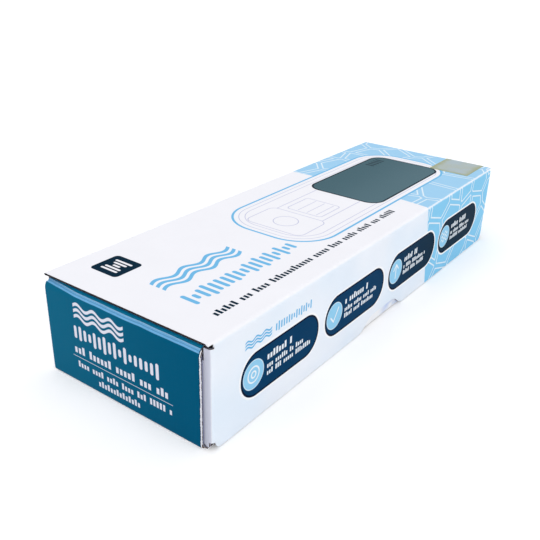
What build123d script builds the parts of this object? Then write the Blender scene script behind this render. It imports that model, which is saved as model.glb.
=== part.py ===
"""A boxed mini condensate pump: a folded tuck-end carton with the pump kit packed inside.

Frame: millimetres, +Z up, origin on the table under the middle of the carton. X runs along the
carton, with the end that opens at -X. The side panel with the thumb notch faces -Y.
"""
from build123d import *
import os
from math import cos, radians, sin, sqrt, tan

os.makedirs("parts", exist_ok=True)

# ---------------------------------------------------------------- carton sizes
carton_length = 385.0        # over the outer faces of the two end closures
carton_width = 131.0         # over the two side panels
carton_height = 68.0         # over the top and bottom panels
board = 1.6                  # thickness of the micro-flute board
fold_radius = 2.6            # outside of an ordinary crease
tuck_fold_radius = 5.5       # outside of the soft double crease above a closure
panel_setback = 1.2          # raw end of the top panel, behind the closure's face
flap_play = 0.4              # between a closure and the dust flaps behind it
raw_edge_lift = 0.6          # raw lower edge of the notched side panel, above the table
corner_radius = 5.0          # die-cut lower corners of the notched side panel

closure_right_inset = 6.0    # raw vertical edge of a closure, in from the notched side
closure_left_inset = 2.0     # the same on the other side
tab_length = 16.0            # reach of a tuck tab from the closure's face
tab_drop = 2.2               # gap between a tuck tab and the top panel above it
tab_inset = 0.8              # tab shorter than its closure at each end
tab_corner = 9.0             # rounded free corners of a tab

flap_width = 45.0            # reach of a dust flap from its side panel
flap_low_gap = 0.7           # dust flap above the bottom panel, at its crease
flap_heel = 8.0              # stretch with the slight taper, measured like flap_width
flap_heel_taper = 20.0       # degrees
flap_toe_taper = 35.0        # degrees, past the heel
flap_top_gap = 2.0           # tall strip beside the crease, below the top panel
flap_neck_gap = 0.8          # tall strip clear of the closure's raw edge
flap_shoulder_drop = 6.0     # the rest of the flap's top edge, below the tuck tab
flap_corner = 6.0            # rounded free corners of a dust flap

notch_centre = -2.0          # thumb notch, along X
notch_mouth = 69.0           # its length at the lower edge
notch_crown = 26.0           # its straight stretch at the top
notch_height = 9.3           # above the table

lap_height = 28.0            # glue lap inside the notched side panel
lap_end_gap = 14.0           # lap shorter than the carton at each end

tape_thickness = 0.2
tape_width = 35.0            # across the carton
tape_edge_gap = 8.5          # in from the notched side panel
tape_top_reach = 38.5        # on the top panel, from the closure's face
tape_end_reach = 36.0        # down the closure, from the top panel
tape_bridge_rise = 1.5       # where it meets the closure, above the start of the tuck crease

# ---------------------------------------------------------------- fitment tray sizes
tray_length = 336.0
tray_wall_height = 50.0      # above the bottom panel
tray_play = 0.3              # between the tray and the carton round it
divider_y = 2.0              # face of the divider on the pump's side
divider_foot = 14.0          # glued foot of the divider

# ---------------------------------------------------------------- pump sizes
pump_length = 250.0
pump_width = 52.0
pump_height = 46.0
pump_x = -8.0                # middle of the pump in the carton
pump_y = -30.0
pump_corner = 12.0           # upright corners of the casing
pump_crown = 6.0             # rounded top edge of the cover
casing_wall = 2.0
foot_height = 2.0
foot_diameter = 9.0
foot_inset = 14.0            # foot centres from the casing's ends and sides
boss_diameter = 7.0
screw_diameter = 3.0
screw_head_diameter = 5.8
screw_head_height = 2.0
screw_play = 0.1             # on diameter, in the casing's bosses
screw_reach = 10.0           # screw tip below the top of the cover
screw_hole_reach = 6.0       # end of its hole below the top of the cover
boss_x = (-42.0, 98.0)       # screw bosses, from the pump's middle
boss_y = 19.0
tight = 0.05                 # radial play of pieces pushed into one another

reservoir_length = 66.0
reservoir_width = 44.0
reservoir_headroom = 12.0    # from the reservoir's rim to the casing's roof
reservoir_wall = 1.6
reservoir_corner = 6.0
reservoir_end_gap = 3.0      # from the casing's end wall
inlet_outer = 16.0
inlet_bore = 12.0
inlet_reach = 14.0           # inlet spigot past the casing
inlet_drop = 12.0            # inlet's axis below the reservoir's rim
port_outer = 8.0             # suction port of the reservoir
port_bore = 5.0
port_reach = 8.0
port_rise = 7.0
lid_thickness = 2.0
lid_rim = 3.0                # depth of the lid's rim inside the reservoir
guide_diameter = 5.0         # pin under the lid that guides the float
guide_end_gap = 3.0          # pin above the reservoir's floor
float_diameter = 26.0
float_height = 10.0
float_edge = 1.5             # bevelled edges
float_play = 0.1             # radial, on the guide pin
magnet_outer = 15.0
magnet_inner = 8.0
magnet_height = 3.0
filter_thickness = 1.2
filter_offset = 10.0         # from the reservoir's inlet wall
filter_slots = 7
sensor_length = 4.0
sensor_width = 3.0

cartridge_start = 16.0       # inlet face of the cartridge, from the pump's middle
valve_length = 12.0
valve_diameter = 12.0
valve_bore = 4.0
valve_edge = 1.0             # bevelled ends of a valve body
valve_seat_step = 0.8        # radial
valve_seat_slope = 2.0       # along the bore, each side of the seat
gasket_thickness = 1.0
gasket_bore = 4.2
tube_length = 62.0
tube_outer = 10.0
tube_bore = 8.0
piston_length = 30.0
piston_play = 0.05           # radial, in the tube
piston_bore = 6.2            # pockets for the springs
piston_pocket = 9.0
piston_passage = 2.2         # water way through the piston
piston_travel = 3.0          # each way
spring_diameter = 5.4        # over the wire
spring_wire = 0.9
spring_turns = 4
spring_gap = 0.25            # spring clear of its seat, and of the pocket at full travel
bobbin_length = 40.0
flange_thickness = 2.0
bobbin_hub = 13.0
winding_margin = 1.0         # coil below the rim of the bobbin's flanges
yoke_plate = 3.0
yoke_width = 24.0
yoke_gap = 3.0               # between the yoke and the casing's floor or roof
mount_diameter = 20.0        # rubber rings that carry the cartridge
mount_width = 6.0
saddle_thickness = 4.0
outlet_diameter = 6.0
outlet_bore = 3.5
outlet_reach = 12.0          # past the casing
outlet_collar = 2.0          # where the discharge pipe meets its valve
barb_ridge = 0.8
barb_pitch = 3.0
barb_count = 3

duct_outer = 11.0
duct_bend = 6.0
control_board_length = 42.0
control_board_width = 34.0
duct_gap = 1.0               # between the suction duct and the control board
component_headroom = 1.9     # from the tallest component to the casing's roof
transformer_length = 14.0
transformer_width = 16.0
transformer_drop = 1.0       # lower than the capacitors
capacitor_diameter = 8.0
capacitor_spread = 11.0      # between the two capacitors
capacitor_offset = 8.0       # from the board's middle, away from the reservoir
terminal_length = 30.0
terminal_width = 7.5
terminal_edge_gap = 0.5      # in from the board's edge
terminal_drop = 3.0          # lower than the capacitors
terminal_ways = 4
terminal_pitch = 7.5
terminal_bore = 3.4
terminal_floor = 3.0         # below each way
circuit_thickness = 1.6
post_width = 4.0
gland_diameter = 8.0
gland_flange = 12.0
gland_bore = 5.0
gland_offset = 8.0          # from the pump's middle line
gland_rise = 12.0            # above the casing's underside
gland_lip = 2.0
gland_inner_step = 1.0       # inner flange smaller than the outer one

# ---------------------------------------------------------------- kit sizes
plate_length = 190.0
plate_width = 38.0
plate_thickness = 2.0
plate_corner = 5.0
plate_keyholes = 3           # one plug and one screw for each
keyhole_slot = 10.0
plug_diameter = 6.0
plug_length = 30.0
plug_rim_diameter = 7.5
plug_rim_thickness = 1.0
plug_bore = 3.0
plug_tip = 4.0               # solid end
wall_screw_diameter = 4.0
wall_screw_length = 35.0
wall_screw_head = 7.5
wall_screw_head_height = 2.5
wall_screw_point = 4.0
wall_screw_tip = 0.6
kit_pitch = 11.0
kit_start = 20.0             # first plug or screw, from the plate's middle
adaptor_gap = 12.0           # between the plate and the adaptor
adaptor_low_bore = 16.0
adaptor_high_bore = 21.0
adaptor_wall = 2.5
adaptor_neck = 14.0          # height of the narrow part
adaptor_slope = 6.0
adaptor_height = 34.0
leaflet_length = 148.0
leaflet_thickness = 2.0
leaflet_play = 1.5
leaflet_rest = 0.5           # leaflet's fold past the divider's face

# ---------------------------------------------------------------- places worked out from them
near_x, far_x = -carton_length / 2, carton_length / 2
right_y, left_y = -carton_width / 2, carton_width / 2
flap_x = near_x + board + flap_play                     # outer face of the near dust flaps
tab_top = carton_height - board - tab_drop
flap_low = board + flap_low_gap
flap_high = carton_height - board - flap_top_gap
shoulder_z = tab_top - board - flap_shoulder_drop
closure_right = right_y + closure_right_inset
closure_left = left_y - closure_left_inset
tray_floor = 2 * board
tray_right = right_y + 2 * board + tray_play
tray_left = left_y - board - tray_play
casing_low = tray_floor + foot_height
casing_floor = casing_low + casing_wall
casing_roof = casing_low + pump_height - casing_wall
axis_z = casing_low + pump_height / 2                   # cartridge axis and parting plane
casing_inner_width = pump_width - 2 * casing_wall
crown_relief = (pump_crown - casing_wall) * (2 - sqrt(2))   # bevel inside the rounded crown
reservoir_top = casing_roof - reservoir_headroom
reservoir_bottom = casing_floor + reservoir_wall
inlet_z = reservoir_top - inlet_drop
yoke_height = pump_height - 2 * casing_wall - 2 * yoke_gap
bobbin_flange = yoke_height - 2 * yoke_plate
coil_diameter = bobbin_flange - 2 * winding_margin
control_board_low = axis_z + duct_outer / 2 + duct_gap
control_board_top = control_board_low + circuit_thickness
capacitor_height = casing_roof - component_headroom - control_board_top

nodes = {}


# ---------------------------------------------------------------- shared forms
def bent_board(start, length, radius):
    """Half of a crease: a ring sector of board, 45 degrees on from start, drawn upwards."""
    reach = 2 * radius
    wedge = Polygon(
        (0, 0),
        (reach * cos(radians(start)), reach * sin(radians(start))),
        (reach * cos(radians(start + 45)), reach * sin(radians(start + 45))),
        align=None,
    )
    ring = Circle(radius) - Circle(radius - board)
    return extrude(ring & wedge, length)


def crease_x(y, z, start, x_from, x_to, radius=fold_radius):
    """Half crease along X. Angles turn from +Y towards +Z about (y, z)."""
    return Plane.YZ * Pos(y, z, x_from) * bent_board(start, x_to - x_from, radius)


def crease_y(x, z, start, y_from, y_to, radius=fold_radius):
    """Half crease along Y. Angles turn from +X towards +Z about (x, z)."""
    return Plane.XZ * Pos(x, z, -y_to) * bent_board(start, y_to - y_from, radius)


def crease_z(x, y, start, z_from, z_to, radius=fold_radius):
    """Half crease along Z. Angles turn from +X towards +Y about (x, y)."""
    return Pos(x, y, z_from) * bent_board(start, z_to - z_from, radius)


def block(x_from, x_to, y_from, y_to, z_from, z_to):
    size = Box(x_to - x_from, y_to - y_from, z_to - z_from)
    return Pos((x_from + x_to) / 2, (y_from + y_to) / 2, (z_from + z_to) / 2) * size


def rod_x(diameter, x_from, x_to, y, z):
    rod = Cylinder(diameter / 2, x_to - x_from, rotation=(0, 90, 0))
    return Pos((x_from + x_to) / 2, y, z) * rod


def rod_z(diameter, z_from, z_to, x, y):
    return Pos(x, y, (z_from + z_to) / 2) * Cylinder(diameter / 2, z_to - z_from)


def rounded_block(length, width, corner, x, y, z_from, z_to):
    face = RectangleRounded(length, width, corner)
    return Pos(x, y, z_from) * extrude(face, z_to - z_from)


def turned_x(profile, x, y, z):
    """Revolve (distance along X, radius) points about an axis along X."""
    face = make_face(Polyline(*[(along, 0, radius) for along, radius in profile], close=True))
    return Pos(x, y, z) * revolve(face, Axis.X)


def far_end(part):
    """The same piece at the carton's far end."""
    return mirror(part, Plane.YZ)


# ---------------------------------------------------------------- carton
def make_top_panel():
    x_from, x_to = near_x + panel_setback, far_x - panel_setback
    inner = carton_height - fold_radius
    flat = block(x_from, x_to, right_y + fold_radius, left_y - fold_radius,
                 carton_height - board, carton_height)
    left_fold = crease_x(left_y - fold_radius, inner, 45, x_from, x_to)
    right_fold = crease_x(right_y + fold_radius, inner, 90, x_from, x_to)
    return flat + left_fold + right_fold


def make_left_side_panel():
    x_from = flap_x + fold_radius
    inner = left_y - fold_radius
    wall = block(x_from, -x_from, left_y - board, left_y, fold_radius, carton_height - fold_radius)
    top_fold = crease_x(inner, carton_height - fold_radius, 0, x_from, -x_from)
    low_fold = crease_x(inner, fold_radius, 315, x_from, -x_from)
    end_fold = crease_z(x_from, inner, 90, flap_low, shoulder_z)
    return wall + top_fold + low_fold + end_fold + far_end(end_fold)


def thumb_notch():
    """Cutter with S-shaped flanks, through the lower edge of the notched side panel."""
    foot, crown = notch_mouth / 2, notch_crown / 2
    rise = Spline((-foot, raw_edge_lift), (-crown, notch_height), tangents=((1, 0), (1, 0)))
    fall = Spline((crown, notch_height), (foot, raw_edge_lift), tangents=((1, 0), (1, 0)))
    outline = [
        rise,
        Line((-crown, notch_height), (crown, notch_height)),
        fall,
        Line((foot, raw_edge_lift), (foot, -board)),
        Line((foot, -board), (-foot, -board)),
        Line((-foot, -board), (-foot, raw_edge_lift)),
    ]
    cutter = extrude(make_face(outline), 2 * board, both=True)
    return Pos(notch_centre, right_y, 0) * Rot(90, 0, 0) * cutter


def make_right_side_panel():
    x_from = flap_x + fold_radius
    outline = Pos(0, 0) * Rectangle(-2 * x_from, carton_height - fold_radius - raw_edge_lift)
    low_corners = outline.vertices().group_by(Axis.Y)[0]
    outline = fillet(low_corners, corner_radius)
    wall = Plane.XZ * extrude(outline, board)
    middle = (carton_height - fold_radius + raw_edge_lift) / 2
    wall = Pos(0, right_y + board, middle) * wall
    top_fold = crease_x(right_y + fold_radius, carton_height - fold_radius, 135, x_from, -x_from)
    folds = crease_z(x_from, right_y + fold_radius, 225, raw_edge_lift + corner_radius, flap_high)
    return wall - thumb_notch() + top_fold + folds + far_end(folds)


def make_bottom_panel():
    x_from = near_x + fold_radius
    lap_from = near_x + lap_end_gap
    seam_y = right_y + board + fold_radius
    flat = block(x_from, -x_from, seam_y, left_y - fold_radius, 0, board)
    left_fold = crease_x(left_y - fold_radius, fold_radius, 270, flap_x + fold_radius,
                         -flap_x - fold_radius)
    lap_fold = crease_x(seam_y, fold_radius, 225, lap_from, -lap_from)
    hinge = crease_y(x_from, fold_radius, 225, closure_right, closure_left)
    return flat + left_fold + lap_fold + hinge + far_end(hinge)


def make_glue_lap():
    x_from = near_x + lap_end_gap
    seam_y = right_y + board + fold_radius
    wall = block(x_from, -x_from, right_y + board, right_y + 2 * board, fold_radius, lap_height)
    upper = wall.edges().filter_by(Axis.Y).group_by(Axis.Z)[-1]
    wall = chamfer(upper, lap_end_gap)
    return wall + crease_x(seam_y, fold_radius, 180, x_from, -x_from)


def make_closure():
    """End closure: half of the table crease, the wall, and half of the tuck crease."""
    crease_centre = tab_top - tuck_fold_radius
    wall = block(near_x, near_x + board, closure_right, closure_left, fold_radius, crease_centre)
    low = crease_y(near_x + fold_radius, fold_radius, 180, closure_right, closure_left)
    high = crease_y(near_x + tuck_fold_radius, crease_centre, 135, closure_right, closure_left,
                    tuck_fold_radius)
    return wall + low + high


def make_tuck_tab():
    crease_x0 = near_x + tuck_fold_radius
    tab_right, tab_left = closure_right + tab_inset, closure_left - tab_inset
    bend = crease_y(crease_x0, tab_top - tuck_fold_radius, 90, tab_right, tab_left,
                    tuck_fold_radius)
    plate = block(crease_x0, near_x + tab_length, tab_right, tab_left, tab_top - board, tab_top)
    free_corners = plate.edges().filter_by(Axis.Z).group_by(Axis.X)[-1]
    return fillet(free_corners, tab_corner) + bend


def flap_plate():
    """Dust flap of the notched side, drawn as (reach from the side panel, height)."""
    heel_z = flap_low + (flap_heel - fold_radius) * tan(radians(flap_heel_taper))
    toe_z = heel_z + (flap_width - flap_heel) * tan(radians(flap_toe_taper))
    outline = Polygon(
        (fold_radius, flap_low),
        (flap_heel, heel_z),
        (flap_width, toe_z),
        (flap_width, shoulder_z),
        (fold_radius, shoulder_z),
        align=None,
    )
    outline = fillet(outline.vertices().group_by(Axis.X)[-1], flap_corner)
    return Pos(flap_x, right_y, 0) * (Plane.YZ * extrude(outline, board))


def make_right_dust_flap():
    """A tall strip stands beside its crease, clear of the closure's raw edge."""
    strip_end = right_y + closure_right_inset - flap_neck_gap
    strip = block(flap_x, flap_x + board, right_y + fold_radius, strip_end, shoulder_z, flap_high)
    return flap_plate() + strip + crease_z(flap_x + fold_radius, right_y + fold_radius, 180,
                                           raw_edge_lift + corner_radius, flap_high)


def make_left_dust_flap():
    """The closure reaches over its crease, so it ends at shoulder height all along."""
    bend = crease_z(flap_x + fold_radius, right_y + fold_radius, 180, flap_low, shoulder_z)
    return mirror(flap_plate() + bend, Plane.XZ)


def make_tape():
    """Tape over the far top edge, bridging from the top panel to the closure."""
    edge_x = far_x - panel_setback
    bridge_z = tab_top - tuck_fold_radius + tape_bridge_rise
    low_z = carton_height - tape_end_reach
    t = tape_thickness
    profile = Polygon(
        (far_x - tape_top_reach, carton_height),
        (edge_x, carton_height),
        (far_x, bridge_z),
        (far_x, low_z),
        (far_x + t, low_z),
        (far_x + t, bridge_z),
        (edge_x + t, carton_height + t),
        (far_x - tape_top_reach, carton_height + t),
        align=None,
    )
    strip = Plane.XZ * extrude(profile, tape_width)
    return Pos(0, right_y + tape_edge_gap + tape_width, 0) * strip


def make_carton():
    nodes["top_panel"] = make_top_panel()
    nodes["bottom_panel"] = make_bottom_panel()
    nodes["left_side_panel"] = make_left_side_panel()
    nodes["right_side_panel"] = make_right_side_panel()
    nodes["glue_lap"] = make_glue_lap()
    nodes["near_closure"] = make_closure()
    nodes["near_tuck_tab"] = make_tuck_tab()
    nodes["near_left_dust_flap"] = make_left_dust_flap()
    nodes["near_right_dust_flap"] = make_right_dust_flap()
    for name in ("closure", "tuck_tab", "left_dust_flap", "right_dust_flap"):
        nodes["far_" + name] = far_end(nodes["near_" + name])
    nodes["tape_seal"] = make_tape()


# ---------------------------------------------------------------- fitment tray
def make_tray():
    """U-shaped tray: floor, two long walls and their creases."""
    half = tray_length / 2
    top = board + tray_wall_height
    right, left = tray_right + fold_radius, tray_left - fold_radius
    low = board + fold_radius
    tray = block(-half, half, right, left, board, tray_floor)
    tray += block(-half, half, tray_right, tray_right + board, low, top)
    tray += block(-half, half, tray_left - board, tray_left, low, top)
    for start in (180, 225):
        tray += crease_x(right, low, start, -half, half)
    for start in (270, 315):
        tray += crease_x(left, low, start, -half, half)
    return tray


def make_tray_end():
    """End board of the tray: a wall and the foot it is glued down by."""
    half = tray_length / 2
    right, left = tray_right + board + tray_play, tray_left - board - tray_play
    inner_right, inner_left = right + fold_radius, left - fold_radius
    wall = block(-half, -half + board, right, left, tray_floor + fold_radius,
                 board + tray_wall_height)
    foot = block(-half + fold_radius, -half + 2 * divider_foot, inner_right, inner_left,
                 tray_floor, tray_floor + board)
    low = tray_floor + fold_radius
    bend = crease_y(-half + fold_radius, low, 180, inner_right, inner_left)
    bend += crease_y(-half + fold_radius, low, 225, inner_right, inner_left)
    return wall + foot + bend


def make_divider():
    """Long divider between the pump and the kit, glued down by its foot."""
    half = tray_length / 2 - 2 * divider_foot - tray_play
    low = tray_floor + fold_radius
    wall = block(-half, half, divider_y, divider_y + board, low, board + tray_wall_height)
    foot = block(-half, half, divider_y + fold_radius, divider_y + divider_foot, tray_floor,
                 tray_floor + board)
    bend = crease_x(divider_y + fold_radius, low, 180, -half, half)
    bend += crease_x(divider_y + fold_radius, low, 225, -half, half)
    return wall + foot + bend


def make_fitment():
    nodes["fitment_tray"] = make_tray()
    nodes["fitment_near_end"] = make_tray_end()
    nodes["fitment_far_end"] = far_end(nodes["fitment_near_end"])
    nodes["fitment_divider"] = make_divider()


# ---------------------------------------------------------------- pump casing
def casing_shell(z_from, z_to, roof=False):
    """Half of the casing: rounded box, open towards the parting plane."""
    shell = rounded_block(pump_length, pump_width, pump_corner, pump_x, pump_y, z_from, z_to)
    if roof:
        shell = fillet(shell.edges().group_by(Axis.Z)[-1], pump_crown)
    room_from = z_from if roof else z_from + casing_wall
    room_to = z_to - casing_wall if roof else z_to
    room = rounded_block(pump_length - 2 * casing_wall, casing_inner_width,
                         pump_corner - casing_wall, pump_x, pump_y, room_from, room_to)
    if roof:
        room = chamfer(room.edges().group_by(Axis.Z)[-1], crown_relief)
    return shell - room


def boss_places():
    return [(pump_x + x, pump_y + side * boss_y) for x in boss_x for side in (-1, 1)]


def mount_places():
    """Middles of the two rubber rings, on the valve bodies."""
    start = pump_x + cartridge_start
    end = start + 2 * valve_length + 2 * gasket_thickness + tube_length
    return start + valve_length / 2, end - valve_length / 2


def casing_openings():
    """Ways through the casing for the inlet, the outlet and the cable gland."""
    low_end, high_end = pump_x - pump_length / 2, pump_x + pump_length / 2
    inlet = rod_x(inlet_outer + 2 * tight, low_end - 1, low_end + 2 * casing_wall, pump_y, inlet_z)
    outlet = rod_x(outlet_diameter + 4 * tight, high_end - 2 * casing_wall, high_end + 1,
                   pump_y, axis_z)
    gland = rod_x(gland_diameter + 2 * tight, high_end - 2 * casing_wall, high_end + 1,
                  pump_y + gland_offset, casing_low + gland_rise)
    return inlet + outlet + gland


def make_casing_base():
    base = casing_shell(casing_low, axis_z)
    half_width = casing_inner_width / 2
    for x in mount_places():
        saddle = block(x - saddle_thickness / 2, x + saddle_thickness / 2, pump_y - half_width,
                       pump_y + half_width, casing_floor, axis_z)
        base += saddle - rod_x(mount_diameter + 4 * tight, x - saddle_thickness,
                               x + saddle_thickness, pump_y, axis_z)
    for x, y in boss_places():
        base += rod_z(boss_diameter, casing_floor, axis_z, x, y)
    for x, y in post_places():
        base += block(x - post_width / 2, x + post_width / 2, y - post_width / 2,
                      y + post_width / 2, casing_floor, control_board_low)
    for x, y in boss_places():
        base -= rod_z(screw_diameter + screw_play, casing_low - 1, axis_z + 1, x, y)
        base -= rod_z(screw_head_diameter + 2 * screw_play, casing_low - 1,
                      casing_low + screw_head_height, x, y)
    return base - casing_openings()


def make_cover():
    top = casing_low + pump_height
    cover = casing_shell(axis_z, top, roof=True)
    half_width = casing_inner_width / 2
    for x in mount_places():
        saddle = block(x - saddle_thickness / 2, x + saddle_thickness / 2, pump_y - half_width,
                       pump_y + half_width, axis_z, top - pump_crown)
        cover += saddle - rod_x(mount_diameter + 4 * tight, x - saddle_thickness,
                                x + saddle_thickness, pump_y, axis_z)
    for x, y in boss_places():
        cover += rod_z(boss_diameter, axis_z, top - casing_wall, x, y)
        cover -= rod_z(screw_diameter + screw_play, axis_z - 1, top - screw_hole_reach, x, y)
    return cover - casing_openings()


def make_screws():
    screws = []
    tip = casing_low + pump_height - screw_reach
    for x, y in boss_places():
        head = rod_z(screw_head_diameter, casing_low, casing_low + screw_head_height, x, y)
        screws.append(head + rod_z(screw_diameter, casing_low, tip, x, y))
    return screws


def make_feet():
    reach_x, reach_y = pump_length / 2 - foot_inset, pump_width / 2 - foot_inset
    return [rod_z(foot_diameter, tray_floor, casing_low, pump_x + i * reach_x, pump_y + j * reach_y)
            for i in (-1, 1) for j in (-1, 1)]


# ---------------------------------------------------------------- reservoir and float
reservoir_x = pump_x - pump_length / 2 + casing_wall + reservoir_end_gap + reservoir_length / 2


def make_reservoir():
    tank = rounded_block(reservoir_length, reservoir_width, reservoir_corner, reservoir_x, pump_y,
                         casing_floor, reservoir_top)
    tank -= rounded_block(reservoir_length - 2 * reservoir_wall,
                          reservoir_width - 2 * reservoir_wall,
                          reservoir_corner - reservoir_wall, reservoir_x, pump_y,
                          reservoir_bottom, reservoir_top)
    port_z = casing_floor + port_rise
    wall_in = reservoir_x - reservoir_length / 2
    wall_out = reservoir_x + reservoir_length / 2
    spout_end = pump_x - pump_length / 2 - inlet_reach
    tank += rod_x(inlet_outer, spout_end, wall_in + reservoir_wall, pump_y, inlet_z)
    tank += rod_x(port_outer, wall_out - reservoir_wall, wall_out + port_reach, pump_y, port_z)
    tank -= rod_x(inlet_bore, spout_end - 1, wall_in + 2 * reservoir_wall, pump_y, inlet_z)
    tank -= rod_x(port_bore, wall_out - 2 * reservoir_wall, wall_out + port_reach + 1, pump_y,
                  port_z)
    return tank


def make_reservoir_lid():
    lid = rounded_block(reservoir_length, reservoir_width, reservoir_corner, reservoir_x, pump_y,
                        reservoir_top, reservoir_top + lid_thickness)
    gap = reservoir_wall + tight
    rim_corner = reservoir_corner - reservoir_wall
    rim = rounded_block(reservoir_length - 2 * gap, reservoir_width - 2 * gap, rim_corner,
                        reservoir_x, pump_y, reservoir_top - lid_rim, reservoir_top)
    rim -= rounded_block(reservoir_length - 2 * gap - 2 * reservoir_wall,
                         reservoir_width - 2 * gap - 2 * reservoir_wall,
                         rim_corner - reservoir_wall, reservoir_x, pump_y,
                         reservoir_top - lid_rim, reservoir_top)
    guide = rod_z(guide_diameter, reservoir_bottom + guide_end_gap, reservoir_top, reservoir_x,
                  pump_y)
    return lid + rim + guide


def make_float():
    """Ring float on the guide pin, with a pocket for its magnet."""
    top = reservoir_bottom + float_height
    body = rod_z(float_diameter, reservoir_bottom, top, reservoir_x, pump_y)
    body = chamfer(body.edges().filter_by(GeomType.CIRCLE), float_edge)
    body -= rod_z(guide_diameter + 2 * float_play, reservoir_bottom - 1, top + 1, reservoir_x, pump_y)
    pocket = rod_z(magnet_outer, top - magnet_height, top, reservoir_x, pump_y)
    pocket -= rod_z(magnet_inner, top - magnet_height, top, reservoir_x, pump_y)
    magnet = rod_z(magnet_outer - 2 * tight, top - magnet_height, top, reservoir_x, pump_y)
    magnet -= rod_z(magnet_inner + 2 * tight, top - magnet_height, top, reservoir_x, pump_y)
    return body - pocket, magnet


def make_filter():
    """Slotted plate that stands across the reservoir behind its inlet."""
    x = reservoir_x - reservoir_length / 2 + reservoir_wall + filter_offset
    half = reservoir_width / 2 - reservoir_wall - tight
    top = reservoir_top - lid_rim
    plate = block(x, x + filter_thickness, pump_y - half, pump_y + half, reservoir_bottom, top)
    pitch = 2 * half / (filter_slots + 1)
    margin = 2 * filter_thickness
    for slot in range(1, filter_slots + 1):
        y = pump_y - half + slot * pitch
        plate -= block(x - 1, x + filter_thickness + 1, y - pitch / 4, y + pitch / 4,
                       reservoir_bottom + margin, top - margin)
    return plate


def make_sensor_board():
    """Level sensor board on the reservoir's lid, with its three sensors."""
    low = reservoir_top + lid_thickness
    length, width = reservoir_length / 2, reservoir_width / 2
    board_plate = block(reservoir_x - length / 2, reservoir_x + length / 2, pump_y - width / 2,
                        pump_y + width / 2, low, low + circuit_thickness)
    for place in (-1, 0, 1):
        x = reservoir_x + place * length / 4
        board_plate += block(x - sensor_length / 2, x + sensor_length / 2,
                             pump_y - sensor_width / 2, pump_y + sensor_width / 2,
                             low, low + 2 * circuit_thickness)
    return board_plate


# ---------------------------------------------------------------- pump cartridge
valve_x = pump_x + cartridge_start                       # inlet face of the cartridge
tube_x = valve_x + valve_length + gasket_thickness
tube_end = tube_x + tube_length
outlet_x = tube_end + gasket_thickness
piston_x = (tube_x + tube_end) / 2


def make_valve(x_from, seat_side):
    """Check valve body: a turned housing with a seat cone inside."""
    radius, bore = valve_diameter / 2, valve_bore / 2
    waist = radius - valve_edge
    seat = 2 * valve_length / 3 if seat_side > 0 else valve_length / 3
    return turned_x([(0, bore), (0, waist), (valve_edge, radius),
                     (valve_length - valve_edge, radius), (valve_length, waist),
                     (valve_length, bore), (seat + valve_seat_slope, bore),
                     (seat, bore - valve_seat_step), (seat - valve_seat_slope, bore)],
                    x_from, pump_y, axis_z)


def make_gaskets():
    rings = []
    for x in (valve_x + valve_length, tube_end):
        ring = rod_x(tube_outer, x, x + gasket_thickness, pump_y, axis_z)
        rings.append(ring - rod_x(gasket_bore, x - 1, x + 2 * gasket_thickness, pump_y, axis_z))
    return rings


def make_piston():
    half = piston_length / 2
    piston = rod_x(tube_bore - 2 * piston_play, piston_x - half, piston_x + half, pump_y, axis_z)
    piston -= rod_x(piston_passage, piston_x - half, piston_x + half, pump_y, axis_z)
    for side in (-1, 1):
        mouth = piston_x + side * half
        floor = mouth - side * piston_pocket
        piston -= rod_x(piston_bore, min(mouth, floor), max(mouth, floor), pump_y, axis_z)
    return piston


def make_spring(side):
    """Open coil spring from its end of the tube into the piston's pocket."""
    seat = tube_x if side < 0 else tube_end
    pocket_floor = piston_x + side * (piston_length / 2 - piston_pocket)
    radius = (spring_diameter - spring_wire) / 2
    room = abs(seat - pocket_floor) - piston_travel - 2 * spring_gap
    height = room - spring_wire
    coil = Helix(pitch=height / spring_turns, height=height, radius=radius)
    section = Plane(coil @ 0, z_dir=coil % 0) * RegularPolygon(spring_wire / 2, 4)
    wire = sweep(section, path=coil)
    start = seat - side * (spring_gap + spring_wire / 2)
    return Pos(start, pump_y, axis_z) * Rot(0, -90 * side, 0) * wire


def make_bobbin():
    start = piston_x - bobbin_length / 2
    hub, flange = bobbin_hub / 2, bobbin_flange / 2
    bore = tube_outer / 2 + tight
    inner = bobbin_length - flange_thickness
    return turned_x([(0, bore), (0, flange), (flange_thickness, flange), (flange_thickness, hub),
                     (inner, hub), (inner, flange), (bobbin_length, flange),
                     (bobbin_length, bore)], start, pump_y, axis_z)


def make_coil():
    start = piston_x - bobbin_length / 2 + flange_thickness
    length = bobbin_length - 2 * flange_thickness
    return turned_x([(0, bobbin_hub / 2), (0, coil_diameter / 2), (length, coil_diameter / 2),
                     (length, bobbin_hub / 2)], start, pump_y, axis_z)


def make_yoke():
    """Rectangular iron frame that closes the coil's magnetic path."""
    half = bobbin_length / 2 + yoke_plate
    frame = block(piston_x - half, piston_x + half, pump_y - yoke_width / 2,
                  pump_y + yoke_width / 2, axis_z - yoke_height / 2, axis_z + yoke_height / 2)
    frame = fillet(frame.edges().filter_by(Axis.Y), 2 * yoke_plate / 3)
    frame -= block(piston_x - bobbin_length / 2, piston_x + bobbin_length / 2,
                   pump_y - yoke_width, pump_y + yoke_width,
                   axis_z - yoke_height / 2 + yoke_plate, axis_z + yoke_height / 2 - yoke_plate)
    return frame - rod_x(tube_outer + 2 * tight, piston_x - half, piston_x + half, pump_y, axis_z)


def make_mounts():
    rings = []
    for x in mount_places():
        ring = rod_x(mount_diameter, x - mount_width / 2, x + mount_width / 2, pump_y, axis_z)
        rings.append(ring - rod_x(valve_diameter, x - mount_width, x + mount_width, pump_y, axis_z))
    return rings


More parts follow.
